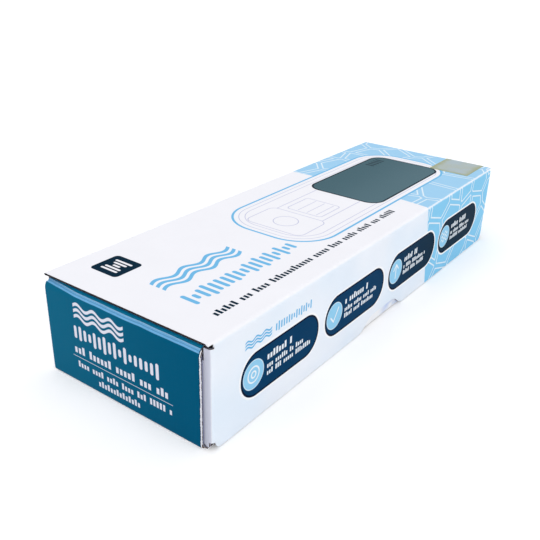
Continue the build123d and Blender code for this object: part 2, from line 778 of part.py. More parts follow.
def make_outlet_barb():
    """Discharge pipe through the casing, with hose ridges on its free end."""
    start = outlet_x + valve_length
    end = pump_x + pump_length / 2 + outlet_reach
    bore, radius = outlet_bore / 2, outlet_diameter / 2
    collar = valve_diameter / 2 - valve_edge
    profile = [(0, bore), (0, collar), (outlet_collar, collar), (outlet_collar, radius)]
    reach = end - start
    for ridge in range(barb_count):
        x = reach - (barb_count - ridge) * barb_pitch
        profile += [(x, radius), (x, radius + barb_ridge)]
    profile += [(reach, radius), (reach, bore)]
    return turned_x(profile, start, pump_y, axis_z)


def make_suction_duct():
    """Moulded duct from the reservoir's port up to the cartridge's inlet."""
    port_x, port_z = reservoir_x + reservoir_length / 2, casing_floor + port_rise
    rise_x = valve_x - 2 * duct_bend
    path = FilletPolyline((port_x, pump_y, port_z), (rise_x, pump_y, port_z),
                          (rise_x, pump_y, axis_z), (valve_x, pump_y, axis_z), radius=duct_bend)
    section = Plane(path @ 0, z_dir=path % 0) * Circle(duct_outer / 2)
    duct = sweep(section, path=path)
    duct -= rod_x(port_outer + 2 * tight, port_x, port_x + port_reach + tight, pump_y, port_z)
    duct -= rod_x(port_bore, port_x, rise_x + port_bore / 2, pump_y, port_z)
    duct -= rod_x(port_bore, rise_x - port_bore / 2, valve_x, pump_y, axis_z)
    return duct - rod_z(port_bore, port_z, axis_z, rise_x, pump_y)


# ---------------------------------------------------------------- control board and gland
board_x = (reservoir_x + reservoir_length / 2 + valve_x) / 2 + boss_diameter


def post_places():
    reach_x = control_board_length / 2 - post_width
    reach_y = control_board_width / 2 - post_width / 2
    return [(board_x + i * reach_x, pump_y + j * reach_y) for i in (-1, 1) for j in (-1, 1)]


def make_control_board():
    """Circuit board on the casing's posts, with its transformer and two capacitors."""
    top = control_board_top
    half_x, half_y = control_board_length / 2, control_board_width / 2
    part = block(board_x - half_x, board_x + half_x, pump_y - half_y, pump_y + half_y,
                 control_board_low, top)
    middle_y = pump_y - transformer_width / 4
    low_x = board_x - capacitor_diameter / 4
    part += block(low_x - transformer_length, low_x, middle_y - transformer_width / 2,
                  middle_y + transformer_width / 2, top, top + capacitor_height - transformer_drop)
    for side in (-1, 1):
        part += rod_z(capacitor_diameter, top, top + capacitor_height, board_x + capacitor_offset,
                      middle_y + side * capacitor_spread / 2)
    return part


def make_terminal_block():
    """Terminals of the supply and alarm wires, along the board's edge."""
    low, high = control_board_top, control_board_top + capacitor_height - terminal_drop
    edge = pump_y + control_board_width / 2 - terminal_edge_gap
    part = block(board_x - terminal_length / 2, board_x + terminal_length / 2,
                 edge - terminal_width, edge, low, high)
    first = board_x - (terminal_ways - 1) * terminal_pitch / 2
    for way in range(terminal_ways):
        part -= rod_z(terminal_bore, low + terminal_floor, high + 1, first + way * terminal_pitch,
                      edge - terminal_width / 2)
    return part


def make_cable_gland():
    """Grommet of the supply lead, pushed through the casing's end wall."""
    end = pump_x + pump_length / 2
    y, z = pump_y + gland_offset, casing_low + gland_rise
    part = rod_x(gland_diameter, end - casing_wall, end, y, z)
    part += rod_x(gland_flange, end, end + gland_lip, y, z)
    part += rod_x(gland_flange - gland_inner_step, end - casing_wall - gland_lip,
                  end - casing_wall, y, z)
    return part - rod_x(gland_bore, end - casing_wall - gland_lip - 1, end + gland_lip + 1, y, z)


def make_pump():
    nodes["pump_casing_base"] = make_casing_base()
    nodes["pump_cover"] = make_cover()
    nodes["cover_screws"] = make_screws()
    nodes["rubber_feet"] = make_feet()
    nodes["reservoir"] = make_reservoir()
    nodes["reservoir_lid"] = make_reservoir_lid()
    nodes["float_body"], nodes["float_magnet"] = make_float()
    nodes["inlet_filter"] = make_filter()
    nodes["sensor_board"] = make_sensor_board()
    nodes["inlet_valve"] = make_valve(valve_x, 1)
    nodes["outlet_valve"] = make_valve(outlet_x, -1)
    nodes["cartridge_gaskets"] = make_gaskets()
    tube = rod_x(tube_outer, tube_x, tube_end, pump_y, axis_z)
    nodes["piston_tube"] = tube - rod_x(tube_bore, tube_x - 1, tube_end + 1, pump_y, axis_z)
    nodes["piston"] = make_piston()
    nodes["suction_spring"] = make_spring(-1)
    nodes["discharge_spring"] = make_spring(1)
    nodes["coil_bobbin"] = make_bobbin()
    nodes["coil_winding"] = make_coil()
    nodes["iron_yoke"] = make_yoke()
    nodes["cartridge_mounts"] = make_mounts()
    nodes["outlet_barb"] = make_outlet_barb()
    nodes["suction_duct"] = make_suction_duct()
    nodes["control_board"] = make_control_board()
    nodes["terminal_block"] = make_terminal_block()
    nodes["cable_gland"] = make_cable_gland()


# ---------------------------------------------------------------- loose kit beside the pump
kit_y = divider_y + divider_foot + (tray_left - board - divider_y - divider_foot) / 2


def make_wall_plate():
    """Wall plate with keyholes, lying on the tray's floor."""
    low, high = tray_floor, tray_floor + plate_thickness
    plate = rounded_block(plate_length, plate_width, plate_corner, 0, kit_y, low, high)
    for place in range(plate_keyholes):
        x = (place - (plate_keyholes - 1) / 2) * plate_length / plate_keyholes
        plate -= rod_z(2 * wall_screw_diameter, low - 1, high + 1, x, kit_y)
        plate -= block(x, x + keyhole_slot, kit_y - wall_screw_diameter / 2,
                       kit_y + wall_screw_diameter / 2, low - 1, high + 1)
    return plate


def make_wall_plugs():
    low = tray_floor + plate_thickness
    plugs = []
    for place in range(plate_keyholes):
        x = kit_start + place * kit_pitch
        plug = rod_z(plug_diameter, 0, plug_length, 0, 0)
        plug += rod_z(plug_rim_diameter, 0, plug_rim_thickness, 0, 0)
        plug -= rod_z(plug_bore, -1, plug_length - plug_tip, 0, 0)
        lie = Pos(x, kit_y - plug_length / 2, low + plug_rim_diameter / 2) * Rot(-90, 0, 0)
        plugs.append(lie * plug)
    return plugs


def make_wall_screws():
    low = tray_floor + plate_thickness
    screws = []
    shank = wall_screw_length - wall_screw_point
    for place in range(plate_keyholes):
        x = -kit_start - place * kit_pitch
        head = Cone(wall_screw_head / 2, wall_screw_diameter / 2, wall_screw_head_height)
        point = Cone(wall_screw_diameter / 2, wall_screw_tip / 2, wall_screw_point)
        screw = Pos(0, 0, wall_screw_head_height / 2) * head
        screw += rod_z(wall_screw_diameter, 0, shank, 0, 0)
        screw += Pos(0, 0, shank + wall_screw_point / 2) * point
        lie = Pos(x, kit_y - wall_screw_length / 2, low + wall_screw_head / 2) * Rot(-90, 0, 0)
        screws.append(lie * screw)
    return screws


def make_inlet_adaptor():
    """Rubber reducer that joins a drain pipe to the inlet spigot, standing on the plate."""
    low_bore, high_bore = adaptor_low_bore / 2, adaptor_high_bore / 2
    low_outer, high_outer = low_bore + adaptor_wall, high_bore + adaptor_wall
    shoulder = adaptor_neck + adaptor_slope
    profile = [(low_bore, 0), (low_outer, 0), (low_outer, adaptor_neck), (high_outer, shoulder),
               (high_outer, adaptor_height), (high_bore, adaptor_height),
               (high_bore, shoulder + 1), (low_bore, adaptor_neck + 1)]
    face = make_face(Polyline(*[(radius, 0, height) for radius, height in profile], close=True))
    x = plate_length / 2 + adaptor_gap + high_outer
    return Pos(x, kit_y, tray_floor) * revolve(face, Axis.Z)


def make_leaflet():
    """Folded instruction leaflet lying across the divider and the tray's wall."""
    low = board + tray_wall_height
    right, left = divider_y + leaflet_rest, tray_left - leaflet_play
    outer = leaflet_thickness / 2
    sheet = block(-leaflet_length / 2, leaflet_length / 2, right + outer, left, low,
                  low + leaflet_thickness)
    fold = rod_x(leaflet_thickness, -leaflet_length / 2, leaflet_length / 2, right + outer,
                 low + outer)
    return sheet + fold


def make_kit():
    nodes["wall_plate"] = make_wall_plate()
    nodes["wall_plugs"] = make_wall_plugs()
    nodes["wall_screws"] = make_wall_screws()
    nodes["inlet_adaptor"] = make_inlet_adaptor()
    nodes["instruction_leaflet"] = make_leaflet()


make_carton()
make_fitment()
make_pump()
make_kit()

for name, part in nodes.items():
    solids = part if isinstance(part, list) else part.solids()
    export_step(Compound(children=list(solids)), f"parts/{name}.step")
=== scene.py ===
"""Looks of the boxed condensate pump: printed carton, tape, kraft fitment and the pump kit."""
import bmesh
import bpy
import math
from functools import partialmethod
from inspect import signature
from mathutils import Matrix, Vector


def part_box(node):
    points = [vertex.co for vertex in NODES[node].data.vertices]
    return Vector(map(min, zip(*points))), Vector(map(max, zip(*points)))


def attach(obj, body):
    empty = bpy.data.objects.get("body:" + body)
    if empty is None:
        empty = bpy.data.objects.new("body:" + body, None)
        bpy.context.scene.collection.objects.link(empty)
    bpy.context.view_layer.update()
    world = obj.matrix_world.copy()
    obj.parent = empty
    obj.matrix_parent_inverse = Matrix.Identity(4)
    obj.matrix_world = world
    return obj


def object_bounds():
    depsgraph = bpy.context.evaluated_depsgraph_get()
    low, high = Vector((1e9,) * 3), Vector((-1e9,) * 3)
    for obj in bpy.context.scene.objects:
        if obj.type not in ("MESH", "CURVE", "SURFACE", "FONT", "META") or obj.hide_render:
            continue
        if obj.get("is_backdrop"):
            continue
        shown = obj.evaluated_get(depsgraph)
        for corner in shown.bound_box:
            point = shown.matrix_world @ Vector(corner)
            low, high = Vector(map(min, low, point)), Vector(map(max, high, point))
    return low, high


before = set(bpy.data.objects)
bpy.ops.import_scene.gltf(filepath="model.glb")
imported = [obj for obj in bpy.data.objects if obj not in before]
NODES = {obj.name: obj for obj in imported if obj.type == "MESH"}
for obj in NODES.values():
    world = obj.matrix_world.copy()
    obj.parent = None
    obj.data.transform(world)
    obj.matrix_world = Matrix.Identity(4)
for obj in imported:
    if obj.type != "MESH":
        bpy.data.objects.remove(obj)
cad_low, cad_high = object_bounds()
MM = 0.001

# ---------------------------------------------------------------- carton, in millimetres
near_x = cad_low.x / MM
half_length = -near_x
half_width = cad_high.y / MM
carton_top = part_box("top_panel")[1].z / MM
fold_radius = 2.6
tuck_fold_radius = 5.5
board = 1.6
liner = 0.28                 # each facing of the board
tab_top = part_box("near_tuck_tab")[1].z / MM
flap_face = -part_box("near_left_dust_flap")[0].x / MM
crease_climb = 17.0          # degrees that the crushed crease climbs towards one corner of the end
flute_pitch = 2.7
flute_turn = 2 * math.pi / flute_pitch
flute_swing = board / 2 - 1.6 * liner    # the flutes' wave, from its middle
crush_reach = (3.4, 2.4)     # how far from a crushed fold the flutes begin to show, and show fully
crush_depth = 0.75
crease_low, crease_high = 21, 53    # degrees round the tuck fold between which its ink is crushed and a highlight is painted

# ---------------------------------------------------------------- print, in millimetres
sky_start = 67.0             # the pale print gives way to sky blue, along X
sky_hollow = 0.00095         # how that edge curves back towards the folds
sky_middle = 20.0
sky_side_start = 70.5
sky_side_slant = -0.165
ink_edge = 0.12              # softness of a printed edge
CAPSULE_HEIGHT = 31.3        # middle of the dark plates above the base
CAPSULES = (-128.1, -43.3, 41.3, 126.7)    # middles of the four dark plates, along X
CAPSULE_ROWS = ((24.0, 38.0, 46.0), (29.0, 43.0, 38.0), (22.0, 36.0, 34.0), (30.0, 38.0, 36.0))


# ---------------------------------------------------------------- colours
def srgb(red, green, blue):
    """Screen values from 0 to 255 as the linear colour that Blender takes."""
    def linear(value):
        value /= 255
        return value / 12.92 if value <= 0.04045 else ((value + 0.055) / 1.055) ** 2.4
    return linear(red), linear(green), linear(blue), 1.0


PAPER_WHITE = srgb(246, 245, 250)
SIDE_WHITE = srgb(243, 247, 254)
SIDE_BLUE = srgb(232, 242, 253)
HALO_WHITE = srgb(252, 252, 254)
FOLD_WHITE = srgb(249, 249, 252)
SMALL_WHITE = srgb(238, 244, 250)
END_WHITE = srgb(232, 232, 244)
INNER_LINER = srgb(172, 174, 196)
FLAP_WHITE = srgb(206, 208, 223)
LAP_WHITE = srgb(251, 252, 255)
LAP_BLUE = srgb(196, 212, 244)
FLUTE_BROWN = srgb(112, 92, 78)
FLUTE_DARK = srgb(36, 32, 34)
EDGE_BLACK = srgb(14, 16, 24)
EDGE_SHADE = srgb(26, 22, 28)
KRAFT = srgb(186, 150, 108)
KRAFT_DARK = srgb(140, 104, 70)
TEAL = srgb(14, 102, 134)
TEAL_DEEP = srgb(0, 87, 121)
TEAL_HIDDEN = srgb(2, 40, 60)
CREASE_BLUE = srgb(116, 180, 226)
CREASE_DARK = srgb(36, 96, 140)
CREASE_LIGHT = srgb(158, 208, 242)
TEAL_SHADE = srgb(2, 62, 92)
TEAL_BRIGHT = srgb(16, 136, 176)
SKY_BLUE = srgb(163, 210, 242)
SKY_SIDE = srgb(138, 206, 242)
SKY_LINE = srgb(228, 241, 251)
HEADLINE_BLUE = srgb(116, 188, 232)
NAVY = srgb(0, 57, 95)
NAVY_FAR = srgb(0, 38, 60)
NAVY_DARK = srgb(2, 22, 48)
INK_DARK = srgb(0, 38, 58)
SLATE = srgb(86, 114, 124)
SLATE_DARK = srgb(72, 102, 112)
SLATE_EDGE = srgb(34, 50, 60)
LAVENDER = srgb(200, 202, 226)
DISC_BLUE = srgb(150, 208, 240)
DISC_EDGE = srgb(206, 232, 248)
TAPE_GREEN = srgb(190, 202, 194)
TAPE_BLUE = srgb(184, 202, 210)
TAPE_AGED = srgb(176, 182, 140)
PRINT_GLOSS = 0.01           # the Principled shader's specular level on varnished print


# ---------------------------------------------------------------- shader trees
def bare_tree(owner):
    """The emptied shader tree of a material or a world."""
    owner.use_nodes = True
    owner.node_tree.nodes.clear()
    return owner.node_tree


class Tree:
    """A node tree with short ways to add nodes and sums."""

    def __init__(self, tree):
        self.tree = tree

    def feed(self, socket, source):
        if isinstance(source, bpy.types.NodeSocket):
            self.tree.links.new(source, socket)
        else:
            socket.default_value = source

    def add(self, kind, inputs=None, **settings):
        node = self.tree.nodes.new(kind)
        for name, value in settings.items():
            setattr(node, name, value)
        for socket, source in (inputs or {}).items():
            self.feed(node.inputs[socket], source)
        return node

    def fill(self, group, inputs):
        """A shared effect with these inputs: its outputs."""
        node = self.tree.nodes.new("ShaderNodeGroup")
        node.node_tree = group
        for name, value in inputs.items():
            self.feed(node.inputs[name], value)
        return node.outputs

    def sum(self, operation, *values, clamp=False):
        inputs = dict(enumerate(values))
        return self.add("ShaderNodeMath", inputs, operation=operation, use_clamp=clamp).outputs[0]

    def chain(self, operation, first, *others, clamp=False):
        """One sum after another, from the left; only the last is clamped."""
        for number, other in enumerate(others, 1):
            first = self.sum(operation, first, other, clamp=clamp and number == len(others))
        return first

    plus = partialmethod(chain, "ADD")
    minus = partialmethod(chain, "SUBTRACT")
    times = partialmethod(chain, "MULTIPLY")
    least = partialmethod(chain, "MINIMUM")
    most = partialmethod(chain, "MAXIMUM")
    over = partialmethod(sum, "DIVIDE")
    scale = partialmethod(sum, "MULTIPLY_ADD")
    abs = partialmethod(sum, "ABSOLUTE")
    sine = partialmethod(sum, "SINE")
    above = partialmethod(sum, "GREATER_THAN")

    def vector(self, operation, *values):
        outputs = self.add("ShaderNodeVectorMath", dict(enumerate(values)),
                           operation=operation).outputs
        return outputs["Value" if operation in ("LENGTH", "DOT_PRODUCT") else "Vector"]

    def stretch(self, place, factor):
        return self.add("ShaderNodeVectorMath", {0: place, "Scale": factor},
                        operation="SCALE").outputs[0]

    def step(self, value, start, end):
        """From 0 at start to 1 at end, with a smooth run."""
        inputs = {"Value": value, "From Min": start, "From Max": end}
        return self.add("ShaderNodeMapRange", inputs,
                        interpolation_type="SMOOTHSTEP").outputs["Result"]

    def turned(self, angle, start, end):
        """From 0 to 1 while an angle goes from start to end, in degrees."""
        return self.step(angle, math.radians(start), math.radians(end))

    def inked(self, distance):
        """Ink where a distance from a printed edge is below 0."""
        return self.step(distance, ink_edge, -ink_edge)

    def mix(self, mask, under, over, blend="MIX"):
        node = self.add("ShaderNodeMix", data_type="RGBA", blend_type=blend)
        for socket, source in ((0, mask), (6, under), (7, over)):
            self.feed(node.inputs[socket], source)
        return node.outputs[2]

    def shade(self, colour, value):
        """A colour made darker or lighter by a value."""
        grey = self.add("ShaderNodeCombineColor", {0: value, 1: value, 2: value}).outputs[0]
        return self.mix(1.0, colour, grey, "MULTIPLY")

    def position(self):
        """Object position in millimetres, as (vector, x, y, z)."""
        place = self.stretch(self.add("ShaderNodeTexCoord").outputs["Object"], 1 / MM)
        return place, *self.add("ShaderNodeSeparateXYZ", {0: place}).outputs

    def pair(self, first, second):
        return self.add("ShaderNodeCombineXYZ", {0: first, 1: second}).outputs[0]

    def dice(self, value):
        """A random number from 0 to 1 that belongs to a value."""
        return self.add("ShaderNodeTexWhiteNoise", {"W": value},
                        noise_dimensions="1D").outputs["Value"]

    def cracks(self, inputs, dimensions):
        """Distance to the nearest border between uneven cells."""
        return self.add("ShaderNodeTexVoronoi", inputs, voronoi_dimensions=dimensions,
                        feature="DISTANCE_TO_EDGE").outputs["Distance"]

    def noise(self, place, scale, detail=3.0, rough=0.5):
        inputs = {"Vector": place, "Scale": scale, "Detail": detail, "Roughness": rough}
        return self.add("ShaderNodeTexNoise", inputs).outputs["Fac"]


def shared(*outputs):
    """A shared shader effect: the function's sums become a node group. Its arguments, each with its
    value, are the group's named inputs, and what it returns goes to the named outputs."""
    def build(make):
        group = bpy.data.node_groups.new(make.__name__, "ShaderNodeTree")
        inputs = list(signature(make).parameters.values())[1:]
        for given in inputs:
            label, value = given.name.replace("_", " ").title(), given.default
            kind = "NodeSocketVector" if isinstance(value, tuple) else "NodeSocketFloat"
            socket = group.interface.new_socket(label, in_out="INPUT", socket_type=kind)
            socket.default_value = value
        for label in outputs:
            group.interface.new_socket(label, in_out="OUTPUT", socket_type="NodeSocketFloat")
        t = Tree(group)
        made = make(t, *t.add("NodeGroupInput").outputs[:len(inputs)])
        made = made if len(outputs) > 1 else (made,)
        for socket, source in zip(t.add("NodeGroupOutput").inputs, made):
            t.feed(socket, source)
        return group
    return build


# ---------------------------------------------------------------- shared effects: board
@shared("Depth")
def board_depth(t, u=0.0, v=0.0, half_u=1.0, half_v=1.0, radius=1.0):
    """Depth below the outer face of board folded round a box, in the plane across its folds."""
    past = t.vector("SUBTRACT", t.pair(t.abs(u), t.abs(v)),
                    t.pair(t.minus(half_u, radius), t.minus(half_v, radius)))
    outside = t.vector("LENGTH", t.vector("MAXIMUM", past, (0, 0, 0)))
    parts = t.add("ShaderNodeSeparateXYZ", {0: past}).outputs
    inside = t.least(t.most(parts[0], parts[1]), 0.0)
    return t.times(t.minus(t.plus(outside, inside), radius), -1.0)


@shared("Core", "Inner", "Flute")
def board_section(t, depth=0.0, along=0.0):
    """Where a spot lies in the board: between the facings, in the inner facing, or on a flute."""
    torn = t.plus(depth, t.scale(t.noise(t.pair(along, depth), 0.9, 2.0), 0.3, -0.15))
    core = t.times(t.step(torn, liner, liner + 0.1),
                   t.step(torn, board - liner, board - liner - 0.1))
    wave = t.scale(t.sine(t.times(along, flute_turn)), flute_swing, board / 2)
    flute = t.step(t.abs(t.minus(depth, wave)), 0.34, 0.2)
    return core, t.step(depth, board - liner - 0.1, board - liner), flute


@shared("Shade", "Height", "Roughness")
def paper_grain(t, position=(0, 0, 0), along=0.0, washboard=0.35):
    """Faint mottle, fibres and the washboard of the flutes behind the facing."""
    cloudy = t.noise(position, 0.035, 4.0, 0.6)
    fibre = t.noise(t.vector("MULTIPLY", position, (0.5, 3.0, 3.0)), 1.1, 5.0, 0.65)
    shade = t.plus(t.scale(cloudy, 0.05, 0.965), t.scale(fibre, 0.03, -0.015))
    uneven = t.noise(position, 0.02, 2.0)
    ribs = t.times(t.sine(t.times(along, flute_turn)), washboard, uneven)
    return shade, t.plus(ribs, t.times(fibre, 0.25)), t.scale(fibre, 0.16, 0.3)


@shared("Mask")
def fold_wear(t, distance=0.0, position=(0, 0, 0), reach=0.8, amount=0.8):
    """Ink rubbed off along a fold, and a painted highlight on it: strongest on the fold, broken up
    by noise.
    """
    away = t.over(t.abs(distance), reach)
    broken = t.scale(t.noise(position, 0.16, 5.0, 0.7), 1.5, -0.65)
    near = t.minus(1.0, t.plus(away, t.times(broken, -1.0)), clamp=True)
    return t.times(near, amount, clamp=True)


# ---------------------------------------------------------------- shared effects: print
@shared("Mask", "Distance")
def print_plate(t, along=0.0, across=0.0, middle_along=0.0, middle_across=0.0, half_length=1.0,
                half_height=1.0, corner=0.5):
    """A printed plate with rounded corners: its mask and the distance from its edge."""
    far = t.plus(t.minus(t.abs(t.minus(along, middle_along)), half_length), corner)
    high = t.plus(t.minus(t.abs(t.minus(across, middle_across)), half_height), corner)
    outside = t.vector("LENGTH", t.pair(t.most(far, 0.0), t.most(high, 0.0)))
    inside = t.least(t.most(far, high), 0.0)
    distance = t.minus(t.plus(outside, inside), corner)
    return t.inked(distance), distance


@shared("Mask")
def print_stroke(t, along=0.0, across=0.0, start=(0, 0, 0), end=(0, 0, 0), weight=1.0):
    """A printed stroke with round ends between two spots."""
    spot = t.vector("SUBTRACT", t.pair(along, across), start)
    run = t.vector("SUBTRACT", end, start)
    share = t.over(t.vector("DOT_PRODUCT", spot, run), t.vector("DOT_PRODUCT", run, run),
                   clamp=True)
    gap = t.vector("LENGTH", t.vector("SUBTRACT", spot, t.stretch(run, share)))
    return t.inked(t.minus(gap, t.times(weight, 0.5)))


@shared("Mask")
def print_words(t, along=0.0, across=0.0, start=0.0, length=10.0, middle=0.0, height=1.0, word=8.0,
                seed=0.0):
    """A row of short upright ticks in uneven clumps, where small print would run."""
    from_start = t.minus(along, start)
    pitch = t.times(height, 0.6)
    count = t.sum("FLOOR", t.over(from_start, pitch))
    tick = t.times(t.plus(count, 0.5), pitch)
    cell = {"W": t.plus(t.over(tick, word), seed), "Scale": 1.0, "Randomness": 0.8}
    clump = t.cracks(cell, "1D")
    in_clump = t.minus(t.times(clump, word), t.times(height, 0.28))
    beside = t.minus(t.times(pitch, 0.32), t.abs(t.minus(from_start, tick)))
    tall = t.scale(t.above(t.dice(t.scale(seed, 7.0, count)), 0.62), 0.28, 0.22)
    rise = t.minus(across, middle)
    above = t.minus(t.times(height, tall), rise)
    below = t.plus(t.times(height, 0.5), rise)
    ends = t.least(tick, t.minus(length, tick))
    inside = t.least(beside, t.least(above, below))
    whole = t.above(t.least(in_clump, ends), 0.0)
    return t.times(t.step(inside, -ink_edge, ink_edge), whole)


@shared("Mask")
def print_levels(t, along=0.0, across=0.0, start=0.0, length=10.0, middle=0.0, height=1.0,
                 pitch=4.0, weight=2.0, seed=0.0):
    """A row of upright round-ended strokes of uneven height, like a sound level."""
    from_start = t.minus(along, start)
    cell = t.sum("FLOOR", t.over(from_start, pitch))
    here = t.minus(from_start, t.times(cell, pitch), t.times(pitch, 0.5))
    share = t.scale(t.dice(t.plus(cell, seed)), 0.3, 0.2)
    arm = t.minus(t.times(share, height), t.times(weight, 0.5))
    past = t.most(t.minus(t.abs(t.minus(across, middle)), arm), 0.0)
    gap = t.vector("LENGTH", t.pair(here, past))
    stroke = t.inked(t.minus(gap, t.times(weight, 0.5)))
    last = t.times(t.plus(cell, 1.0), pitch)
    ends = t.times(t.above(from_start, 0.0), t.sum("LESS_THAN", last, length))
    return t.times(stroke, ends)


@shared("Mask")
def print_ripples(t, along=0.0, across=0.0, start=0.0, length=10.0, middle=0.0, height=1.0,
                  wave=10.0, weight=1.0):
    """Three rippling lines, one over another."""
    from_start = t.minus(along, start)
    turn = t.times(t.over(from_start, wave), 2 * math.pi)
    swing = t.times(t.sine(turn), t.times(height, 0.14))
    spacing = t.times(height, 0.34)
    outer = t.abs(t.minus(t.abs(t.minus(across, middle, swing)), t.times(spacing, 0.5)))
    nearest = t.abs(t.minus(outer, t.times(spacing, 0.5)))
    line = t.inked(t.minus(nearest, t.times(weight, 0.5)))
    ends = t.least(from_start, t.minus(length, from_start))
    return t.times(line, t.step(ends, -ink_edge, ink_edge))


@shared("Mask")
def print_blocks(t, along=0.0, across=0.0, block=30.0, street=2.2, weight=1.15):
    """Outlines of uneven many-sided blocks with an even street between them."""
    place = t.pair(t.over(along, block), t.over(across, block))
    edge = t.cracks({"Vector": place, "Scale": 1.0, "Randomness": 0.9}, "2D")
    off = t.abs(t.minus(t.times(edge, block), street))
    return t.inked(t.minus(off, t.times(weight, 0.5)))


# ---------------------------------------------------------------- shared effects: pump and kit
@shared("Shade", "Height", "Roughness")
def moulded_grain(t, position=(0, 0, 0), grain=2.5, scuff=0.1):
    """Fine grain and faint scuffs of a moulded piece."""
    fine = t.noise(position, grain, 4.0, 0.6)
    broad = t.noise(position, 0.06, 3.0, 0.5)
    scratch = t.noise(t.vector("MULTIPLY", position, (0.15, 2.0, 2.0)), 0.7, 5.0, 0.7)
    mark = t.times(t.step(scratch, 0.6, 0.75), scuff)
    shade = t.plus(t.scale(broad, 0.1, 0.93), mark)
    rough = t.plus(t.scale(fine, 0.2, 0.32), mark)
    return shade, t.plus(fine, mark), rough


@shared("Shade", "Height", "Roughness")
def metal_wear(t, position=(0, 0, 0), brush=(1.0, 6.0, 6.0), spots=0.3):
    """Brushed streaks and dull spots of a metal piece."""
    streak = t.noise(t.vector("MULTIPLY", position, brush), 0.9, 5.0, 0.7)
    dull = t.times(t.step(t.noise(position, 0.35, 4.0, 0.6), 0.52, 0.7), spots)
    shade = t.minus(t.scale(streak, 0.25, 0.85), dull)
    return shade, streak, t.plus(t.scale(streak, 0.25, 0.2), dull)


# ---------------------------------------------------------------- materials
class Finish(Tree):
    """A material with one Principled shader, and its tree."""

    def __init__(self, name):
        self.material = bpy.data.materials.new(name)
        super().__init__(bare_tree(self.material))
        self.shader = self.add("ShaderNodeBsdfPrincipled")
        output = self.add("ShaderNodeOutputMaterial")
        self.feed(output.inputs["Surface"], self.shader.outputs["BSDF"])

    def coat(self, colour, rough, height, strength, depth):
        """Colour, roughness and a bump, its depth in metres: the finished material."""
        bump = self.add("ShaderNodeBump", {"Height": height, "Strength": strength,
                                           "Distance": depth})
        coats = {"Base Color": colour, "Roughness": rough, "Normal": bump.outputs["Normal"]}
        for name, source in coats.items():
            self.feed(self.shader.inputs[name], source)
        return self.material


def wrap_depth(t, first, second, half_first, half_second, radius=fold_radius):
    """Depth below the outer face of board that wraps round in the plane of two coordinates."""
    inputs = {"U": first, "V": second, "Half U": half_first, "Half V": half_second,
              "Radius": radius}
    return t.fill(board_depth, inputs)["Depth"]


def long_wrap(t, y, z):
    """Depth in the section across the carton, from its four long folds."""
    return wrap_depth(t, y, t.minus(z, carton_top / 2), half_width, carton_top / 2)


def end_wrap(t, x, z, radius=fold_radius):
    """Depth in the section along the carton, from the folds of its end closures."""
    return wrap_depth(t, x, t.minus(z, tab_top / 2), half_length, tab_top / 2, radius)


def flap_wrap(t, x, y):
    """Depth in plan, from the upright folds of the dust flaps."""
    return wrap_depth(t, x, y, flap_face, half_width)


class Print:
    """A sheet of board being printed: coordinates on the sheet and the colour so far."""

    def __init__(self, t, along, across, paper):
        self.t, self.along, self.across, self.colour = t, along, across, paper

    def ink(self, mask, colour):
        self.colour = self.t.mix(mask, self.colour, colour)

    def spot(self, group, *values):
        """A print effect on this sheet, its values in the order of its inputs, not yet inked."""
        return self.t.fill(group, dict(enumerate((self.along, self.across, *values))))

    def stamp(self, group, *values):
        """A print effect, its last value the colour that it is inked in."""
        shape = self.spot(group, *values[:-1])
        self.ink(shape["Mask"], values[-1])
        return shape

    # each takes what its effect names after along and across, and then the colour
    plate = partialmethod(stamp, print_plate)
    words = partialmethod(stamp, print_words)
    levels = partialmethod(stamp, print_levels)
    ripples = partialmethod(stamp, print_ripples)

    def keyline(self, distance, offset, weight, colour):
        """A line of some weight at an offset from the edge of a plate."""
        off = self.t.abs(self.t.minus(distance, offset))
        self.ink(self.t.step(off, weight / 2 + ink_edge, weight / 2 - ink_edge), colour)

    def frame(self, x, y, half_length, half_height, corner, weight, colour):
        shape = self.spot(print_plate, x, y, half_length, half_height, corner)
        self.keyline(shape["Distance"], 0.0, weight, colour)

    def stroke(self, start, end, weight, colour):
        self.stamp(print_stroke, (*start, 0), (*end, 0), weight, colour)

    def sky(self, past_edge, colour):
        """Sky blue with outlined blocks, where past_edge is above 0."""
        patterned = self.t.mix(self.spot(print_blocks)["Mask"], colour, SKY_LINE)
        self.ink(self.t.step(past_edge, -ink_edge, ink_edge), patterned)


def board_finish(t, ink, depth, along, place, paper=PAPER_WHITE, core=(FLUTE_DARK, FLUTE_BROWN),
                 inner=INNER_LINER):
    """Print on the outer facing; flutes and the inner facing where the board is cut."""
    section = t.fill(board_section, {"Depth": depth, "Along": along})
    grain = t.fill(paper_grain, {"Position": place, "Along": along, "Washboard": 0.12})
    facing = t.mix(t.step(depth, 0.2, 0.12), paper, ink)
    # on a cut edge the hollows between the flutes are painted dark as shade
    colour = t.mix(section["Core"], facing, t.mix(section["Flute"], *core))
    colour = t.shade(t.mix(section["Inner"], colour, inner), grain["Shade"])
    rough = t.scale(section["Core"], 0.4, grain["Roughness"], clamp=True)
    t.shader.inputs["Specular IOR Level"].default_value = PRINT_GLOSS
    return t.coat(colour, rough, grain["Height"], 0.35, 0.0002)


def crushed(t, depth, place, fold, inward):
    """Depth near a fold that is crushed, so that the flutes show."""
    near = t.step(place, *(fold + inward * reach for reach in crush_reach))
    return t.minus(depth, t.times(near, crush_depth))


